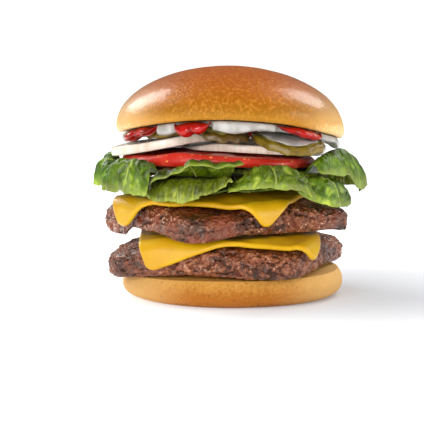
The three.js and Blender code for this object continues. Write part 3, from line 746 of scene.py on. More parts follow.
def tomato_finish():
    """Wet tomato: red skin at the rim, flesh marbled and flecked with pale seeds on the faces."""
    paint = Paint("tomato_flesh")
    place = paint.place()
    skin = paint.attribute("rim")
    slow = paint.noise(place, 6, 4)
    fine = paint.noise(place, 1.2, 4)
    flesh = paint.ramp(
        slow * 0.7 + fine * 0.3,
        (0.3, colour(186, 32, 20)),
        (0.55, colour(204, 52, 36)),
        (0.8, colour(224, 112, 88)),
    )
    body = paint.blend(paint.step(skin, 0.7, 1) * 0.5, flesh, colour(190, 34, 16))
    seeds = paint.step(paint.cells(paint.place((1.5, 1.5, 1)), 2.1), 0.25, 0.12)
    return paint.finish(
        base_color=paint.blend(seeds * paint.step(slow, 0.3, 0.46) * 0.85, body, colour(236, 170, 84)),
        roughness=0.2 + fine * 0.2,
        normal=paint.bump(fine, 0.12),
        specular_ior_level=0.4,
        subsurface_weight=0.12,
        subsurface_radius=(0.004, 0.001, 0.0006),
    )


def onion_finish():
    """Raw onion: milky white layers with faint upright fibres and a rosy tinge; painted shade, tinged with
    the tomato's red, darkens its underside.
    """
    paint = Paint("onion_flesh")
    fibres = paint.noise(paint.place((1.3, 1.3, 30)), 1.4, 3, 0.6)
    slow = paint.noise(paint.place(), 9, 2)
    body = paint.ramp(
        fibres * 0.7 + slow * 0.3,
        (0.3, colour(208, 186, 166)),
        (0.5, colour(230, 214, 196)),
        (0.7, colour(244, 234, 222)),
    )
    # Painted shade: the underside faces are darkened to a deep red.
    stained = paint.blend(paint.attribute("under") * 0.85, body, colour(110, 46, 26))
    return paint.finish(
        base_color=stained,
        roughness=0.28,
        normal=paint.bump(fibres, 0.1),
        subsurface_weight=0.4,
        subsurface_radius=(0.005, 0.004, 0.003),
        coat_weight=0.25,
        coat_roughness=0.12,
    )


def pickle_finish():
    """Pickled cucumber: olive rind at the rim, paler and wet on the faces; painted shade darkens the rind,
    most on the slice that lies in shade.
    """
    paint = Paint("pickle_flesh")
    place = paint.place()
    rind = paint.attribute("rim")
    fine = paint.noise(place, 1.1, 4, 0.6)
    slow = paint.noise(place, 5)
    flesh = paint.blend(slow, colour(150, 138, 54), colour(176, 164, 84))
    skin = paint.ramp(
        fine * 0.5 + slow * 0.5,
        (0.3, colour(78, 58, 6)),
        (0.6, colour(128, 104, 14)),
        (0.8, colour(158, 134, 34)),
    )
    # Painted shade: the rind is blended towards a dark olive.
    tone = paint.blend(paint.attribute("brown") * 0.7, skin, colour(70, 42, 16))
    return paint.finish(
        base_color=paint.blend(paint.step(rind, 0.5, 0.9), flesh, tone),
        roughness=0.2 + fine * 0.2,
        normal=paint.bump(fine, 0.18),
        subsurface_weight=0.12,
        subsurface_radius=(0.003, 0.003, 0.001),
        specular_ior_level=0.4,
    )


def sauce_finish(name, light, deep, gloss, shine):
    """Smooth sauce between a light and a deep shade, of a roughness and a strength of its shine."""
    paint = Paint(name)
    slow = paint.noise(paint.place(), 5, 2)
    return paint.finish(
        base_color=paint.blend(paint.step(slow, 0.35, 0.65), light, deep),
        roughness=gloss + slow * 0.08,
        normal=paint.bump(slow, 0.25),
        specular_ior_level=shine,
        subsurface_weight=0.1,
        subsurface_radius=(0.003, 0.0015, 0.001),
    )


# ---------------------------------------------------------------- buns
def heel_top(x, y):
    """Height of the heel's cut face: its rim droops by the fourth power of the reach, most on the left."""
    out = np.hypot(x, y) / HEEL.radius
    droop = HEEL.droop + HEEL.left_droop * clamp01(-x / HEEL.radius) ** 2
    return HEEL.height - droop * np.minimum(out, 1.02) ** 4


def heel_bun():
    """A slab whose side pulls in towards the foot by 1 - √(1 - b^2.4) of the flat's inset, and towards the
    cut by a² of its own, b and a being the shares of the way down and up from the widest ring."""

    def inset(s):
        below = clamp01((HEEL.wide_at - s) / (1 + HEEL.wide_at))
        above = clamp01((s - HEEL.wide_at) / (1 - HEEL.wide_at))
        return HEEL.flat_inset * (1 - np.sqrt(1 - below**2.4)) + HEEL.cut_inset * above**2

    slab = slab_rings(
        HEEL.x, 0, lambda phi: HEEL.radius + 0.5 * swell(phi, 0.8),
        lambda x, y: 0 * x, heel_top, inset, face_rings=14, rim_rings=40, steps=420,
    )
    on_side = 1 - slab.s**2
    return ring_body("heel", raised(slab.points, relief_of(slab.points, HEEL.relief) * on_side))


def cut_face(x, y):
    """Height of the crown's cut face: tilted, arched up towards the front and back, hollow in the middle."""
    across_x = x / CUT.reach
    across_y = y / CUT.reach
    out = np.minimum(1.1, across_x**2 + across_y**2)
    tilt = -CUT.fall_right * across_x - CUT.fall_back * across_y
    return CUT.side + tilt + CUT.arch * across_y**2 + CUT.hollow * (1 - out)


def crown_bun():
    """Cut face, a cheek of quarter ellipses out to the widest ring, and a dome of quarter ellipses up to
    the apex."""
    phi = around(CROWN.steps)[None, :]
    full = CROWN.radius + 0.45 * swell(phi, 1.3)
    cut_reach = full - CROWN.cut_inset
    share = np.sqrt(np.linspace(0, 1, CROWN.cut_rings + 1)[:-1])[:, None]
    under_x = CROWN.x + cut_reach * share * np.cos(phi)
    under_y = cut_reach * share * np.sin(phi)
    under = np.stack([under_x, under_y, cut_face(under_x, under_y)], axis=-1)

    wide_z = cut_face(CROWN.x + cut_reach * np.cos(phi), cut_reach * np.sin(phi)) + CROWN.cheek
    turn = np.linspace(0, 90, CROWN.cheek_rings)[:, None] * RAD
    cheek_z = wide_z - CROWN.cheek * np.cos(turn)
    cheek = spun(CROWN.x, 0, cut_reach + CROWN.cut_inset * np.sin(turn), phi, cheek_z)

    climb = np.linspace(0, 90, CROWN.dome_rings + 1)[1:, None] * RAD
    dome_x = mix(CROWN.apex_x, CROWN.x + full * np.cos(phi), np.cos(climb))
    dome_y = full * np.sin(phi) * np.cos(climb)
    dome_z = mix(wide_z, CROWN.apex, np.sin(climb))
    dome = np.stack(np.broadcast_arrays(dome_x, dome_y, dome_z), axis=-1)

    points = np.concatenate([under, cheek, dome])
    fade = np.ones((len(points), 1))
    fade[0] = fade[-1] = 0
    fade[: len(under)] *= 0.5
    relief = relief_of(points, CROWN.relief) - CROWN.sunk
    return ring_body("crown", raised(points, relief * fade))


# ---------------------------------------------------------------- beef
def patty_reach(patty, phi):
    """Reach of a rounded square, half / (|cos|ⁿ + |sin|ⁿ)^(1/n), swollen a little with direction."""
    psi = phi - (patty.corner_at - 45) * RAD
    sides = np.abs(np.cos(psi)) ** PATTY.corner + np.abs(np.sin(psi)) ** PATTY.corner
    return PATTY.half / sides ** (1 / PATTY.corner) + 0.8 * swell(phi, patty.seed)


def patty_top(patty, x, y):
    """The top falls away smoothly towards the rim and to the left, with slow lumps."""
    sag = patty.sag * smoothstep(patty.sag_from, patty.sag_to, np.hypot(x - patty.x, y))
    sag = sag + patty.left_fall * smoothstep(PATTY.left_from, PATTY.left_to, -x)
    return patty.top - sag - 0.35 * (1 + lumps(x, y, 0, patty.seed, 21))


def patty_base(patty, x, y):
    """The underside follows what carries it and hangs where it reaches past, most on the left."""
    hanging = patty.base_sag * smoothstep(PATTY.base_from, PATTY.base_to, np.hypot(x, y))
    hanging = np.maximum(hanging, patty.left_sag * smoothstep(PATTY.end_from, PATTY.end_to, -x))
    return patty.base + patty.on_heel * (heel_top(x, y) - HEEL.height) - hanging


def mince_height(points, seed):
    """Height of minced meat from about 0 to 1: rounded grains of two sizes on slow swellings, smoother in
    some places, less the cracks where a stretched noise is near 0."""
    drift = np.stack([noise(points, MINCE.drift_wave, seed + axis) for axis in range(3)], axis=-1)
    drifted = points + MINCE.drift * drift
    some = mix(MINCE.seldom, 1, smoothstep(-0.3, 0.3, noise(points, MINCE.slow, seed + 6)))
    coarse = pebbles(drifted, MINCE.coarse, seed)
    fine = pebbles(drifted, MINCE.fine, seed + 3)
    slow = rough(points, MINCE.slow, seed + 2, 2)
    gristle = rough(points, MINCE.gristle, seed, 2)
    stretched = rough(drifted * (1, 1, MINCE.crack_stretch), MINCE.crack_wave, seed + 4, 3)
    crack = smoothstep(MINCE.crack, 0, np.abs(stretched))
    return 0.1 + (0.4 * coarse + 0.4 * fine) * some + 0.22 * slow + 0.08 * gristle - 0.25 * crack


def beef_patty(name, patty):
    """A slab with quarter ellipses above and below an upright band; the relief of its mince is deepest on
    the rim and shallow on the covered faces."""

    def inset(s):
        bend = clamp01((np.abs(s) - PATTY.upright) / (1 - PATTY.upright))
        return np.where(s > 0, PATTY.edge, PATTY.under_edge) * (1 - np.sqrt(1 - bend * bend))

    slab = slab_rings(
        patty.x, 0, lambda phi: patty_reach(patty, phi), lambda x, y: patty_base(patty, x, y),
        lambda x, y: patty_top(patty, x, y), inset, face_rings=22, rim_rings=56, steps=760,
    )
    points = slab.points
    side = 1 - slab.s**2
    pulled = MINCE.pull * (1 + lumps(*np.moveaxis(points, -1, 0), patty.seed, MINCE.pull_wave)) * side
    inward = np.concatenate([points[..., :2] - (patty.x, 0), 0 * points[..., :1]], axis=-1)
    inward = inward / np.maximum(np.linalg.norm(inward, axis=-1, keepdims=True), 1)
    points = points - inward * pulled[..., None]
    height = mince_height(points, patty.seed)
    near_rim = smoothstep(0.8, 0.97, slab.shares + 0 * slab.s)
    depth = mix(MINCE.hidden, mix(MINCE.face, MINCE.rim, side**0.5), near_rim)
    lift = mix(1, 0.5, near_rim * side)
    return ring_body(name, raised(points, (height - lift) * depth), relief=height)


# ---------------------------------------------------------------- cheese
def rounded_square(a, b, half, corner):
    """A square's points, its corner regions' nested squares turned to nested quarter circles."""
    inner = half - corner
    past_a = np.maximum(np.abs(a) * half - inner, 0)
    past_b = np.maximum(np.abs(b) * half - inner, 0)
    length = np.maximum(np.hypot(past_a, past_b), 1e-9)
    shrink = np.maximum(past_a, past_b) / length
    shrink = np.where((past_a > 0) & (past_b > 0), shrink, 1)
    x = np.sign(a) * (np.minimum(np.abs(a) * half, inner) + past_a * shrink)
    y = np.sign(b) * (np.minimum(np.abs(b) * half, inner) + past_b * shrink)
    return x, y


def cheese_points(cheese, a, b, lift):
    """A flat square laid on its patty: a fold's size inside the patty's edge it turns down round a circle
    of that size plus the gap and lift, and then hangs straight at the bend's angle. It turns down square
    to the edge: what reaches past is split along the outline's normal and along the outline, which lean
    from the direction phi by atan(r'/r)."""
    turn = (cheese.corner_at - 45) * RAD
    corner = np.where((a > 0) & (b > 0), cheese.blunt, SLICE.corner)
    flat_x, flat_y = rounded_square(a, b, cheese.half, corner)
    x = cheese.x + flat_x * np.cos(turn) - flat_y * np.sin(turn)
    y = cheese.y + flat_x * np.sin(turn) + flat_y * np.cos(turn)
    patty = cheese.patty
    phi = np.arctan2(y, x - patty.x)
    distance = np.hypot(x - patty.x, y)
    edge = patty_reach(patty, phi) - SLICE.fold
    past = np.maximum(0, distance - edge)
    slope = (patty_reach(patty, phi + 0.02) - patty_reach(patty, phi - 0.02)) / 0.04
    lean = np.arctan(slope / patty_reach(patty, phi))
    over = past * np.cos(lean)
    aside = past * np.sin(lean)
    gap = SLICE.gap + SLICE.slack * smoothstep(-4, 3, distance - edge)
    middle_radius = SLICE.fold + gap + SLICE.thickness / 2
    angle = np.minimum(over / middle_radius, SLICE.bend * RAD)
    hanging = over - angle * middle_radius
    radius = SLICE.fold + gap + lift
    inner = np.minimum(distance, edge)
    out = radius * np.sin(angle) + hanging * np.cos(angle)
    start_x = patty.x + inner * np.cos(phi)
    start_y = inner * np.sin(phi)
    normal_x, normal_y = np.cos(phi - lean), np.sin(phi - lean)
    z = patty_top(patty, start_x, start_y) + gap + lift - radius * (1 - np.cos(angle))
    end_x = start_x + out * normal_x - aside * normal_y
    end_y = start_y + out * normal_y + aside * normal_x
    return np.stack([end_x, end_y, z - hanging * np.sin(angle)], axis=-1)


def cheese_slice(name, cheese):
    """Upper and lower face meet in a half-round edge: half the thickness falls as a circle near it."""
    line = np.sin(np.linspace(-90, 90, 131) * RAD)
    a, b = np.meshgrid(line, line)
    to_edge = (1 - np.maximum(np.abs(a), np.abs(b))) * cheese.half
    rounding = np.sqrt(1 - (1 - clamp01(to_edge / SLICE.edge)) ** 2)
    middle = SLICE.thickness / 2
    rise = middle * np.maximum(rounding, 0.06)
    upper = cheese_points(cheese, a, b, middle + rise)
    lower = cheese_points(cheese, a, b, middle - rise)
    wobble = 0.3 * rough(upper, 13, cheese.seed, 2) * smoothstep(0, 6, to_edge)
    return sheet_body(name, raised(upper, wobble - 0.1, False), lower)


# ---------------------------------------------------------------- lettuce
def leaf_points(leaf, u, v):
    """Nearly level from LEAF.inner to the start, then a cubic Bezier curve from the start by the guides to
    the edge; the guides at u lie on the parabola through those of the three profiles. Across the curve a
    frill, a sine of u, grows towards the edge as the share of the way out to the power 1.4."""
    side = 2 * u - 1
    middle = (leaf.first + leaf.last) / 2
    spread = (leaf.last - leaf.first) / 2
    azimuth = (middle + spread * side * mix(LEAF.narrow, 1, v)) * RAD
    weights = np.stack([(1 - u) * (1 - 2 * u), 4 * u * (1 - u), u * (2 * u - 1)], axis=-1)
    guides = np.tensordot(weights, leaf.profiles, axes=1)
    near, far, edge = guides[..., 0, :], guides[..., 1, :], guides[..., 2, :]
    t = clamp01((v - LEAF.inside) / (1 - LEAF.inside))[..., None]
    curve = (1 - t) ** 3 * leaf.start + 3 * (1 - t) ** 2 * t * near + 3 * (1 - t) * t * t * far + t**3 * edge
    slope = (1 - t) ** 2 * (near - leaf.start) + 2 * (1 - t) * t * (far - near) + t * t * (edge - far)
    slope = slope / np.linalg.norm(slope, axis=-1, keepdims=True)
    inward = np.minimum(v / LEAF.inside, 1)
    ripple = np.sin(leaf.folds * math.pi * u + leaf.phase) + 0.35 * np.sin(2.7 * leaf.folds * math.pi * u)
    lift = leaf.frill * t[..., 0] ** 1.4 * ripple + leaf.hem * smoothstep(0.74, 0.9, t[..., 0])
    reach = curve[..., 0] - (1 - inward) * (leaf.start[0] - LEAF.inner) - lift * slope[..., 1]
    z = curve[..., 1] + LEAF.inner_lift * (1 - inward) + lift * slope[..., 0]
    return spun(0, 0, reach, azimuth, z)


def vein_strength(across, along, length, phase):
    """1 on the rib and less on its branches and their net, from flat places in millimetres, and with it the
    blisters, 1 in the middle of the net's cells and 0 on their walls.

    The rib wanders as a slow sine; branches leave it aslant at even steps; the net follows cell walls."""
    off_rib = across - 1.5 * np.sin(along / VEIN.every + phase)
    share = clamp01(along / length)
    fade = 1 - VEIN.fading * share
    rib = np.exp(-((off_rib / (1 - 0.7 * share)) ** 2)) * fade
    flat = np.stack([across, along, 0 * across + phase], axis=-1)
    wander = 1.8 * noise(flat, 9, phase + 2)
    climb = (along + wander - 0.8 * np.abs(off_rib)) / VEIN.every + 0.13 * phase
    off_branch = np.abs(climb - np.floor(climb) - 0.5) * VEIN.every * 0.78
    branch = np.exp(-((off_branch / VEIN.half_width) ** 2)) * fade
    near, second = cells(flat + wander[..., None] * (1, 0.6, 0), VEIN.cell, 5 + phase)
    net = smoothstep(0.08, 0, second - near)
    vein = np.maximum(rib, np.maximum(VEIN.branch * branch, VEIN.net * net))
    blister = smoothstep(0.02, 0.5, second - near) * (1 - branch)
    return vein, blister


def lettuce_leaf(name, leaf, columns=190, rows=84):
    """The leaf's surface, quilted between its veins, pleated and notched at the edge, thick along the rib."""
    u, v = np.meshgrid(np.linspace(0, 1, columns), np.linspace(0, 1, rows))
    seed = leaf.phase * 5 + 1
    wide = (leaf.last - leaf.first) * 0.9
    edge_line = np.stack([u * wide, 0 * u, 0 * u + seed], axis=-1)
    notch = LEAF.notch * (rough(edge_line, LEAF.notch_wave, seed, 3) - 0.3)
    notched = v * (1 + notch * smoothstep(0.3, 1, v))
    middle = leaf_points(leaf, u, notched)
    across = flat_length(middle, 1)
    across = across - across[:, columns // 2][:, None]
    along = flat_length(middle, 0)
    vein, blister = vein_strength(across, along, along[-1].max(), leaf.phase)
    wavering = 5 * rough(edge_line, 9, seed + 3, 2)
    pleat_line = across / LEAF.pleat_radian + wavering + 1.5 * noise(middle, 8, seed)
    unevenness = 1 + 0.6 * noise(middle, 7, seed + 1)
    pleats = leaf.pleat * np.sin(pleat_line) * smoothstep(0.35, 0.9, v) * unevenness
    outside = smoothstep(LEAF.inside, LEAF.inside + 0.2, v)
    crumple = LEAF.crumple * rough(middle, LEAF.crumple_wave, seed + 6)
    near_edge = v + 0.5 * (leaf.hem == 0) * (1 - v)
    quilted = leaf.quilt * (0.9 * blister - 0.35 * vein) * smoothstep(1, 0.86, near_edge)
    middle = raised(middle, (quilted + pleats + crumple) * outside, False)
    side_edge = smoothstep(0, 0.02, u) * smoothstep(1, 0.98, u)
    thin = mix(LEAF.thin_edge, 1, smoothstep(1, 0.94, v) * side_edge)
    ribbed = LEAF.rib * np.maximum(vein - 0.6, 0)
    thickness = (LEAF.thickness * (1 - 0.35 * v) * 0.8 + ribbed) * thin
    upper = raised(middle, thickness / 2, False)
    lower = raised(middle, -thickness / 2, False)
    tip = np.maximum(v, np.abs(2 * u - 1) ** 3 * 0.98)
    # How high the surface stands, kept for painted light on crests and painted shade in hollows.
    crest = 0.5 * blister * min(leaf.quilt, 1.2) + 0.3 * crumple + 0.3 * pleats + 0.2
    return sheet_body(name, upper, lower, vein=vein, tip=tip, crest=crest, ripe=leaf.ripe + 0 * v)


def lettuce_bed():
    """A crumpled leaf lying on the cheese: two parallel faces over the same slow lumps."""

    def middle(x, y):
        droop = BED.droop * smoothstep(UPPER_PATTY.sag_from, UPPER_PATTY.sag_to, np.hypot(x - BED.x, y))
        return BED.level - droop + BED.height * lumps(x, y, 0, BED.seed, BED.wave)

    slab = slab_rings(
        BED.x, 0, lambda phi: BED.radius + 1.2 * swell(2 * phi, 1.9),
        lambda x, y: middle(x, y) - LEAF.thickness / 2, lambda x, y: middle(x, y) + LEAF.thickness / 2,
        lambda s: 0.3 * s * s, face_rings=30, rim_rings=5, steps=200, crowding=1,
    )
    x, y = slab.points[..., 0], slab.points[..., 1]
    vein, blister = vein_strength(x, y + 60, 120, 1.3)
    points = slab.points + np.stack([0 * x, 0 * x, 0.35 * blister], axis=-1)
    # The bed's blisters give it painted light on its crests and painted shade between them.
    return ring_body("leaf_bed", points, vein=vein, tip=0 * vein, crest=0.5 * blister, ripe=0.6 + 0 * vein)


# ---------------------------------------------------------------- tomato, onion, pickles
def tomato_level(x):
    """Height of the tomato's top before its rim droops: it falls to the right by a power of the reach."""
    right = clamp01((x - TOMATO.x) / TOMATO.radius)
    return TOMATO.top - TOMATO.fall_right * right**1.3


def tomato_top(x, y):
    """The rim droops below that level, more on the left, but for a swelling of its front left part."""
    bulge = np.exp(-(((x - TOMATO.swell_x) / TOMATO.swell_wide) ** 2)) * smoothstep(26, 38, -y)
    return tomato_level(x) - tomato_droop(x, y) + TOMATO.swell * bulge


def tomato_droop(x, y):
    """Droop of the slice, which grows by the fifth power of the reach, and more on the left."""
    out = np.hypot(x - TOMATO.x, y) / TOMATO.radius
    left = clamp01((TOMATO.x - x) / TOMATO.radius)
    return (TOMATO.droop + TOMATO.left_droop * left) * np.minimum(out, 1.2) ** 5


def tomato_base(x, y):
    """The underside follows the drooping level; the slice thins towards the rim by the cube of the reach."""
    out = clamp01(np.hypot(x - TOMATO.x, y) / TOMATO.radius)
    return tomato_level(x) - tomato_droop(x, y) - TOMATO.thickness + TOMATO.rim_thinning * out**3


def tomato_slice():
    """A drooping slice with a rounded skin edge; seed pockets sink between the walls of its flesh."""
    slab = slab_rings(
        TOMATO.x, 0, lambda phi: TOMATO.radius + 0.8 * swell(phi, 2.6), tomato_base, tomato_top,
        lambda s: 1.1 * s * s + 0.5 * s**8, face_rings=34, rim_rings=24, steps=420,
    )
    points = slab.points
    pocket = smoothstep(0.25, 0.6, np.sin(TOMATO.pockets / 2 * slab.phi + 0.6) ** 2)
    zone = smoothstep(0.45, 0.6, slab.shares) * smoothstep(0.94, 0.86, slab.shares)
    grain = TOMATO.grain * (1 + rough(points, TOMATO.grain_wave, 21, 3))
    sunk = TOMATO.pocket_depth * pocket * zone + grain * np.abs(slab.s)
    rim = (1 - np.abs(slab.s) ** 3) + 0 * slab.phi
    return ring_body("tomato_slice", raised(points, -sunk), rim=rim)


def onion_right_base(x, y):
    """The onion lies on the tomato; its right end curls up in a lip."""
    return tomato_level(x) + 0.5 + 0.004 * y + ONION_RIGHT.lip * smoothstep(39.5, 46.5, x)


def onion_left_base(x, y):
    """A slope up to the right that rounds off where the slice lies on the right onion; left of that it
    sinks towards the back until it lies on the tomato."""
    slope = ONION_LEFT.base + ONION_LEFT.rise * (x - ONION_LEFT.x + ONION_LEFT.radius)
    leaning = soft_min(slope, onion_right_base(x, 0) + ONION_RIGHT.thickness + 0.5, 1.2)
    sunk = leaning - ONION_LEFT.sinks * np.maximum(y, 0) * smoothstep(-17.5, -22, x)
    return -soft_min(-sunk, -tomato_top(x, y) - 0.5, 0.6)


def onion_right_top(x, y):
    """The slice is thinner at its left end, under the other one."""
    return onion_right_base(x, y) + ONION_RIGHT.thickness - ONION_RIGHT.thinned * smoothstep(-4, -20, x)


def onion_left_top(x, y):
    return onion_left_base(x, y) + ONION_LEFT.thickness


def onion_slice(name, onion, base, top):
    """A disc of nested layers: a shallow groove, a bell, between each and the next on both faces, and a
    slightly rounded rim."""
    slab = slab_rings(
        onion.x, 0, lambda phi: onion.radius + 0.4 * swell(phi, onion.seed), base, top,
        lambda s: 0.25 * s * s + 0.35 * s**10, face_rings=44, rim_rings=16, steps=360, crowding=1,
    )
    points = slab.points
    radial = slab.shares * onion.radius
    groove = np.exp(-(((radial / ONION_LAYER) % 1 - 0.5) / 0.1) ** 2) * np.abs(slab.s) ** 4
    sunk = 0.35 * groove + 0.06 * (1 + rough(points, 4, onion.seed, 2)) + 0 * slab.phi
    # The underside faces, where the finish paints shade.
    under = smoothstep(-0.9, -0.99, slab.s) + 0 * slab.phi
    return ring_body(name, raised(points, -sunk), under=under)


def pickle_middle(pickle, x, y):
    """A tilted plane that bends down by the squares of the reach to the right and to the front."""
    across_x = x - pickle.x
    across_y = y - pickle.y
    right = np.maximum(0, across_x / pickle.radius)
    front = np.maximum(0, -across_y / pickle.radius)
    tilted = pickle.z + pickle.slope_x * across_x + pickle.slope_y * across_y
    return tilted - pickle.drop_x * right**2 - pickle.drop_y * front**2


def pickle_slice(name, pickle):
    """A scalloped disc bent as it lies, with crinkle-cut waves across both faces."""

    def face(side):
        def height(x, y):
            crinkle = PICKLE.crinkle * np.sin(2 * math.pi * (x + 0.4 * y) / PICKLE.crinkle_wave)
            return pickle_middle(pickle, x, y) + crinkle + side * pickle.thickness / 2
        return height

    slab = slab_rings(
        pickle.x, pickle.y,
        lambda phi: pickle.radius + PICKLE.scallop_depth * np.sin(PICKLE.scallops * phi),
        face(-1), face(1), lambda s: 0.3 * s * s + 0.5 * s**8, face_rings=24, rim_rings=18, steps=260,
    )
    points = slab.points
    warts = PICKLE.warts * rough(points, PICKLE.wart_wave, pickle.seed, 3) * (1 - 0.7 * np.abs(slab.s))
    rim = np.maximum(1 - np.abs(slab.s) ** 4, smoothstep(0.86, 0.96, slab.shares)) + 0 * slab.phi
    return ring_body(name, raised(points, warts - 0.1), rim=rim, brown=pickle.brown + 0 * rim)


# ---------------------------------------------------------------- sauces
def lobe_size(blob, share):
    """Size of a lump of ketchup at a share of its half length: the largest of its lobes' half ellipses."""
    lobes = [size * np.sqrt(clamp01(1 - ((share - middle) / half) ** 2)) for middle, half, size in blob.lobes]
    return np.max(lobes, axis=0)


def mayonnaise_reach(phi):
    """Outline of the mayonnaise: behind each lump of ketchup it draws in to stay clear of its inner side."""
    reach = MAYO.radius + 0.9 * swell(2 * phi, 2.2)
    for blob in KETCHUP.values():
        place = turn_between(phi / RAD, blob.azimuth) * RAD * blob.radius
        size = lobe_size(blob, place / (blob.half_length + MAYO.clear))
        inner = blob.radius - blob.half_width * size - MAYO.clear
        reach = reach - np.maximum(reach - inner, 0) * smoothstep(0, 0.3, size)
    return reach


def rim_depth(azimuth):
    """Depth of the mayonnaise at the rim: the largest of the drips' bells is added, and a slow swelling."""
    bells = [
        depth * np.exp(-2 * (turn_between(azimuth, middle) / half) ** 2) for middle, half, depth in DRIPS
    ]
    return MAYO.depth + np.max(bells, axis=0) + 0.3 * swell(3 * azimuth * RAD, 0.9)


def mayonnaise():
    """A skin under the crown's cut face, thick and wavy at the rim, drawn in where ketchup hangs."""

    def top(x, y):
        out = clamp01(np.hypot(x, y) / MAYO.radius)
        return cut_face(x, y) - GAP - MAYO.slack * (1 - out**4)

    def base(x, y):
        out = smoothstep(MAYO.begins, MAYO.full, np.hypot(x, y) / MAYO.radius)
        return top(x, y) - mix(MAYO.middle, rim_depth(np.arctan2(y, x) / RAD), out)

    slab = slab_rings(
        0, 0, mayonnaise_reach, base, top, lambda s: 0.9 * s * s + 0.9 * s**8,
        face_rings=26, rim_rings=30, steps=540,
    )
    relief = relief_of(slab.points, MAYO.relief) * (1 - slab.s**2)
    return ring_body("mayonnaise_layer", raised(slab.points, relief))


def ketchup_lump(name, blob):
    """A lump along the rim whose top follows the cut face. Its section at each place along it is an
    ellipse, as large as the largest of its lobes there."""
    azimuth = blob.azimuth * RAD
    out_x, out_y = math.cos(azimuth), math.sin(azimuth)
    climb = np.linspace(-90, 90, 71)[:, None] * RAD
    phi = around(150)[None, :]
    share = np.cos(climb) * np.sin(phi)
    size = lobe_size(blob, share)
    ratio = size / np.sqrt(np.maximum(1 - share**2, 0.03))
    s = blob.half_length * share
    w = blob.half_width * ratio * np.cos(climb) * np.cos(phi) - s * s / (2 * blob.radius)
    x = out_x * (blob.radius + w) - out_y * s
    y = out_y * (blob.radius + w) + out_x * s
    height = blob.depth * size**0.85
    z = cut_face(x, y) - GAP - height * (0.5 - 0.5 * np.sin(climb))
    points = np.stack([x, y, z], axis=-1)
    relief = (0.45 * noise(points, 3.2, blob.azimuth) - 0.15) * np.cos(climb)
    return ring_body(name, raised(points, relief))


def pickle_face(x, y):
    """Height just above the crinkles of the right pickle's upper face."""
    pickle = PICKLES["right"]
    return pickle_middle(pickle, x, y) + pickle.thickness / 2 + PICKLE.crinkle


def sauce_smear(name, surface, smear):
    """Sauce spread over a face inside a wavy ellipse: the face, raised by the square root of what is left
    of 1.02 when the square of the share of the way out is taken off."""

    def top(x, y):
        out = np.hypot((x - smear.x) / smear.half_x, (y - smear.y) / smear.half_y)
        return surface(x, y) + 0.15 + smear.height * np.sqrt(clamp01(1.02 - out**2))

    def outline(phi):
        wave = 1 + 0.06 * swell(2 * phi, 1.4)
        return wave / np.hypot(np.cos(phi) / smear.half_x, np.sin(phi) / smear.half_y)

    slab = slab_rings(
        smear.x, smear.y, outline, surface, top, lambda s: 0.3 * s * s,
        face_rings=14, rim_rings=6, steps=160,
    )
    relief = 0.25 * rough(slab.points, 5, 3, 2) * (slab.s > 0)
    return ring_body(name, raised(slab.points, relief))


# ---------------------------------------------------------------- camera, light and floor
CAMERA = SimpleNamespace(x=-8.7, distance=620, height=101, down=5.87, focal=1353, picture=424, sensor=36)
MIDDLE = (0, 0, 50)
STUDIO = SimpleNamespace(fill=0.6, seen=1.1, mirrored=0.16)
# Name, azimuth, elevation, distance, width, height and power of each soft box.
LAMPS = (
    ("left_box", 142, 34, 600, 300, 340, 2.3),
    ("right_box", 38, 42, 600, 260, 300, 1.3),
    ("front_box", 246, 11, 650, 400, 240, 2.7),
    ("side_box", 344, 14, 600, 260, 260, 1.5),
)
# The floor's emission paints its shadow: lowest about a point right of the burger, white far off.
FLOOR = SimpleNamespace(
    radius=3000, thickness=2, below=0.02, near=20, far=200, shift=(-70, -10, 0), glow=(0.08, 0.085, 0.095)
)


def place_camera():
    """A level camera in front of the burger, tipped down; its lens comes from the focal length in pixels."""
    lens = bpy.data.cameras.new("camera")
    lens.sensor_width = CAMERA.sensor
    lens.lens = CAMERA.sensor * CAMERA.focal / CAMERA.picture
    lens.clip_start = 0.01
    lens.clip_end = 50
    camera = bpy.data.objects.new("camera", lens)
    camera.location = Vector((CAMERA.x, -CAMERA.distance, CAMERA.height)) * MM
    camera.rotation_euler = ((90 - CAMERA.down) * RAD, 0, 0)
    bpy.context.scene.collection.objects.link(camera)
    bpy.context.scene.camera = camera
    bpy.context.scene.view_settings.view_transform = "Standard"


def soft_lamp(name, azimuth, elevation, distance, width, tall, power):
    """A rectangular lamp at an azimuth round the burger, turned to its middle."""
    light = bpy.data.lights.new(name, "AREA")
    light.shape = "RECTANGLE"
    light.size = width * MM
    light.size_y = tall * MM
    light.energy = power
    lamp = bpy.data.objects.new(name, light)
    flat = distance * math.cos(elevation * RAD)
    risen = distance * math.sin(elevation * RAD)
    place = (flat * math.cos(azimuth * RAD), flat * math.sin(azimuth * RAD), risen)
    lamp.location = (Vector(place) + Vector(MIDDLE)) * MM
    lamp.rotation_euler = (-Vector(place)).to_track_quat("-Z", "Y").to_euler()
    bpy.context.scene.collection.objects.link(lamp)


def light_studio():
    """A pale world that mirrors dimly, soft boxes behind on the left and the right, one in front and a weak
    one at the side."""
    world = bpy.data.worlds.new("studio")
    world.use_nodes = True
    bpy.context.scene.world = world
    back = world.node_tree.nodes["Background"]
    rays = world.node_tree.nodes.new("ShaderNodeLightPath")
    dim = world.node_tree.nodes.new("ShaderNodeMapRange")
    dim.inputs["To Min"].default_value = STUDIO.fill
    dim.inputs["To Max"].default_value = STUDIO.mirrored
    strength = world.node_tree.nodes.new("ShaderNodeMapRange")
    strength.inputs["To Max"].default_value = STUDIO.seen
    world.node_tree.links.new(rays.outputs["Is Glossy Ray"], dim.inputs["Value"])
    world.node_tree.links.new(dim.outputs["Result"], strength.inputs["To Min"])
    world.node_tree.links.new(rays.outputs["Is Camera Ray"], strength.inputs["Value"])
    world.node_tree.links.new(strength.outputs["Result"], back.inputs["Strength"])
    back.inputs["Color"].default_value = (1, 1, 1, 1)
    for lamp in LAMPS:
        soft_lamp(*lamp)


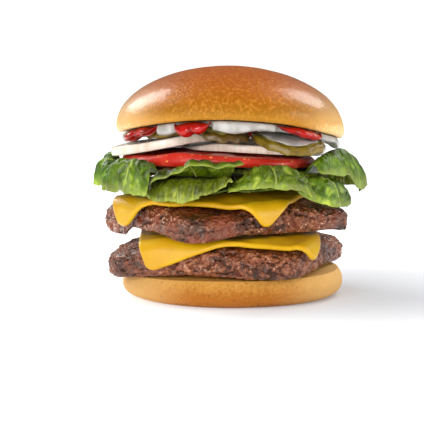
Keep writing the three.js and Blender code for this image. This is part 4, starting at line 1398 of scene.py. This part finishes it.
def lay_floor():
    """A round pale floor that shines with emission of its own, which is low near the burger and grows to
    plain white away from it, more slowly on its right, where less of the left soft box reaches: a painted
    shadow there, and painted light that keeps the floor white further out."""
    rings = np.array([0, 1, 1, 0])[:, None] * FLOOR.radius
    z = np.array([-1, -1, 0, 0])[:, None] * FLOOR.thickness - FLOOR.below
    floor = ring_body("floor", spun(0, 0, rings, around(96)[None, :], z))
    paint = Paint("floor_paint")
    shifted = paint.place(shift=FLOOR.shift)
    reach = paint.node("ShaderNodeVectorMath", {"operation": "LENGTH"}, {0: shifted}, "Value")
    # Painted shadow and light: low emission near the burger's right, rising to white farther out.
    glow = paint.blend(paint.step(reach, FLOOR.near, FLOOR.far), FLOOR.glow, (1, 1, 1))
    floor.data.materials.append(
        paint.finish(base_color=(0.58, 0.585, 0.6), roughness=0.9, emission_color=glow, emission_strength=1)
    )
    floor.data.shade_flat()
    floor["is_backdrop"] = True


# ---------------------------------------------------------------- assembly
def dress_burger():
    crust = crust_finish()
    # The last number is each patty's share of painted highlights.
    upper_beef = beef_finish("beef_glazed", 0.6, 1)
    lower_beef = beef_finish("beef_dull", 0.3, 0.42)
    cheddar = cheese_finish()
    leaf_green = lettuce_finish()
    onion = onion_finish()
    olive = pickle_finish()
    white_sauce = sauce_finish("mayonnaise_sauce", colour(176, 172, 166), colour(150, 146, 140), 0.3, 0.4)
    red_sauce = sauce_finish("ketchup_sauce", colour(172, 14, 8), colour(112, 8, 5), 0.12, 0.4)
    dress(heel_bun(), heel_finish(), "bun_heel", "heel_bun")
    dress(beef_patty("beef_lower", LOWER_PATTY), lower_beef, "beef", "patty_lower")
    dress(cheese_slice("cheese_slice_lower", LOWER_CHEESE), cheddar, "cheese", "cheese_lower")
    dress(beef_patty("beef_upper", UPPER_PATTY), upper_beef, "beef", "patty_upper")
    dress(cheese_slice("cheese_slice_upper", UPPER_CHEESE), cheddar, "cheese", "cheese_upper")
    dress(lettuce_bed(), leaf_green, "lettuce", "lettuce_bed")
    for place, leaf in LEAVES.items():
        dress(lettuce_leaf(f"leaf_{place}", leaf), leaf_green, "lettuce", f"lettuce_{place}")
    dress(tomato_slice(), tomato_finish(), "tomato", "tomato")
    right_onion = onion_slice("onion_slice_right", ONION_RIGHT, onion_right_base, onion_right_top)
    dress(right_onion, onion, "onion", "onion_right")
    left_onion = onion_slice("onion_slice_left", ONION_LEFT, onion_left_base, onion_left_top)
    dress(left_onion, onion, "onion", "onion_left")
    for place, pickle in PICKLES.items():
        dress(pickle_slice(f"pickle_slice_{place}", pickle), olive, "pickle", f"pickle_{place}")
    dress(mayonnaise(), white_sauce, "mayonnaise", "mayonnaise")
    dress(sauce_smear("mayonnaise_smear", pickle_face, MAYO_SMEAR), white_sauce, "mayonnaise")
    dress(sauce_smear("ketchup_smear", tomato_top, KETCHUP_SMEAR), red_sauce, "ketchup")
    for place, blob in KETCHUP.items():
        dress(ketchup_lump(f"ketchup_lump_{place}", blob), red_sauce, "ketchup", f"ketchup_{place}")
    dress(crown_bun(), crust, "bun_crust", "crown_bun")


place_camera()
light_studio()
lay_floor()
dress_burger()

boxes = {"cad": [list(corner) for corner in cad_box], "visual": [list(corner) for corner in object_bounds()]}
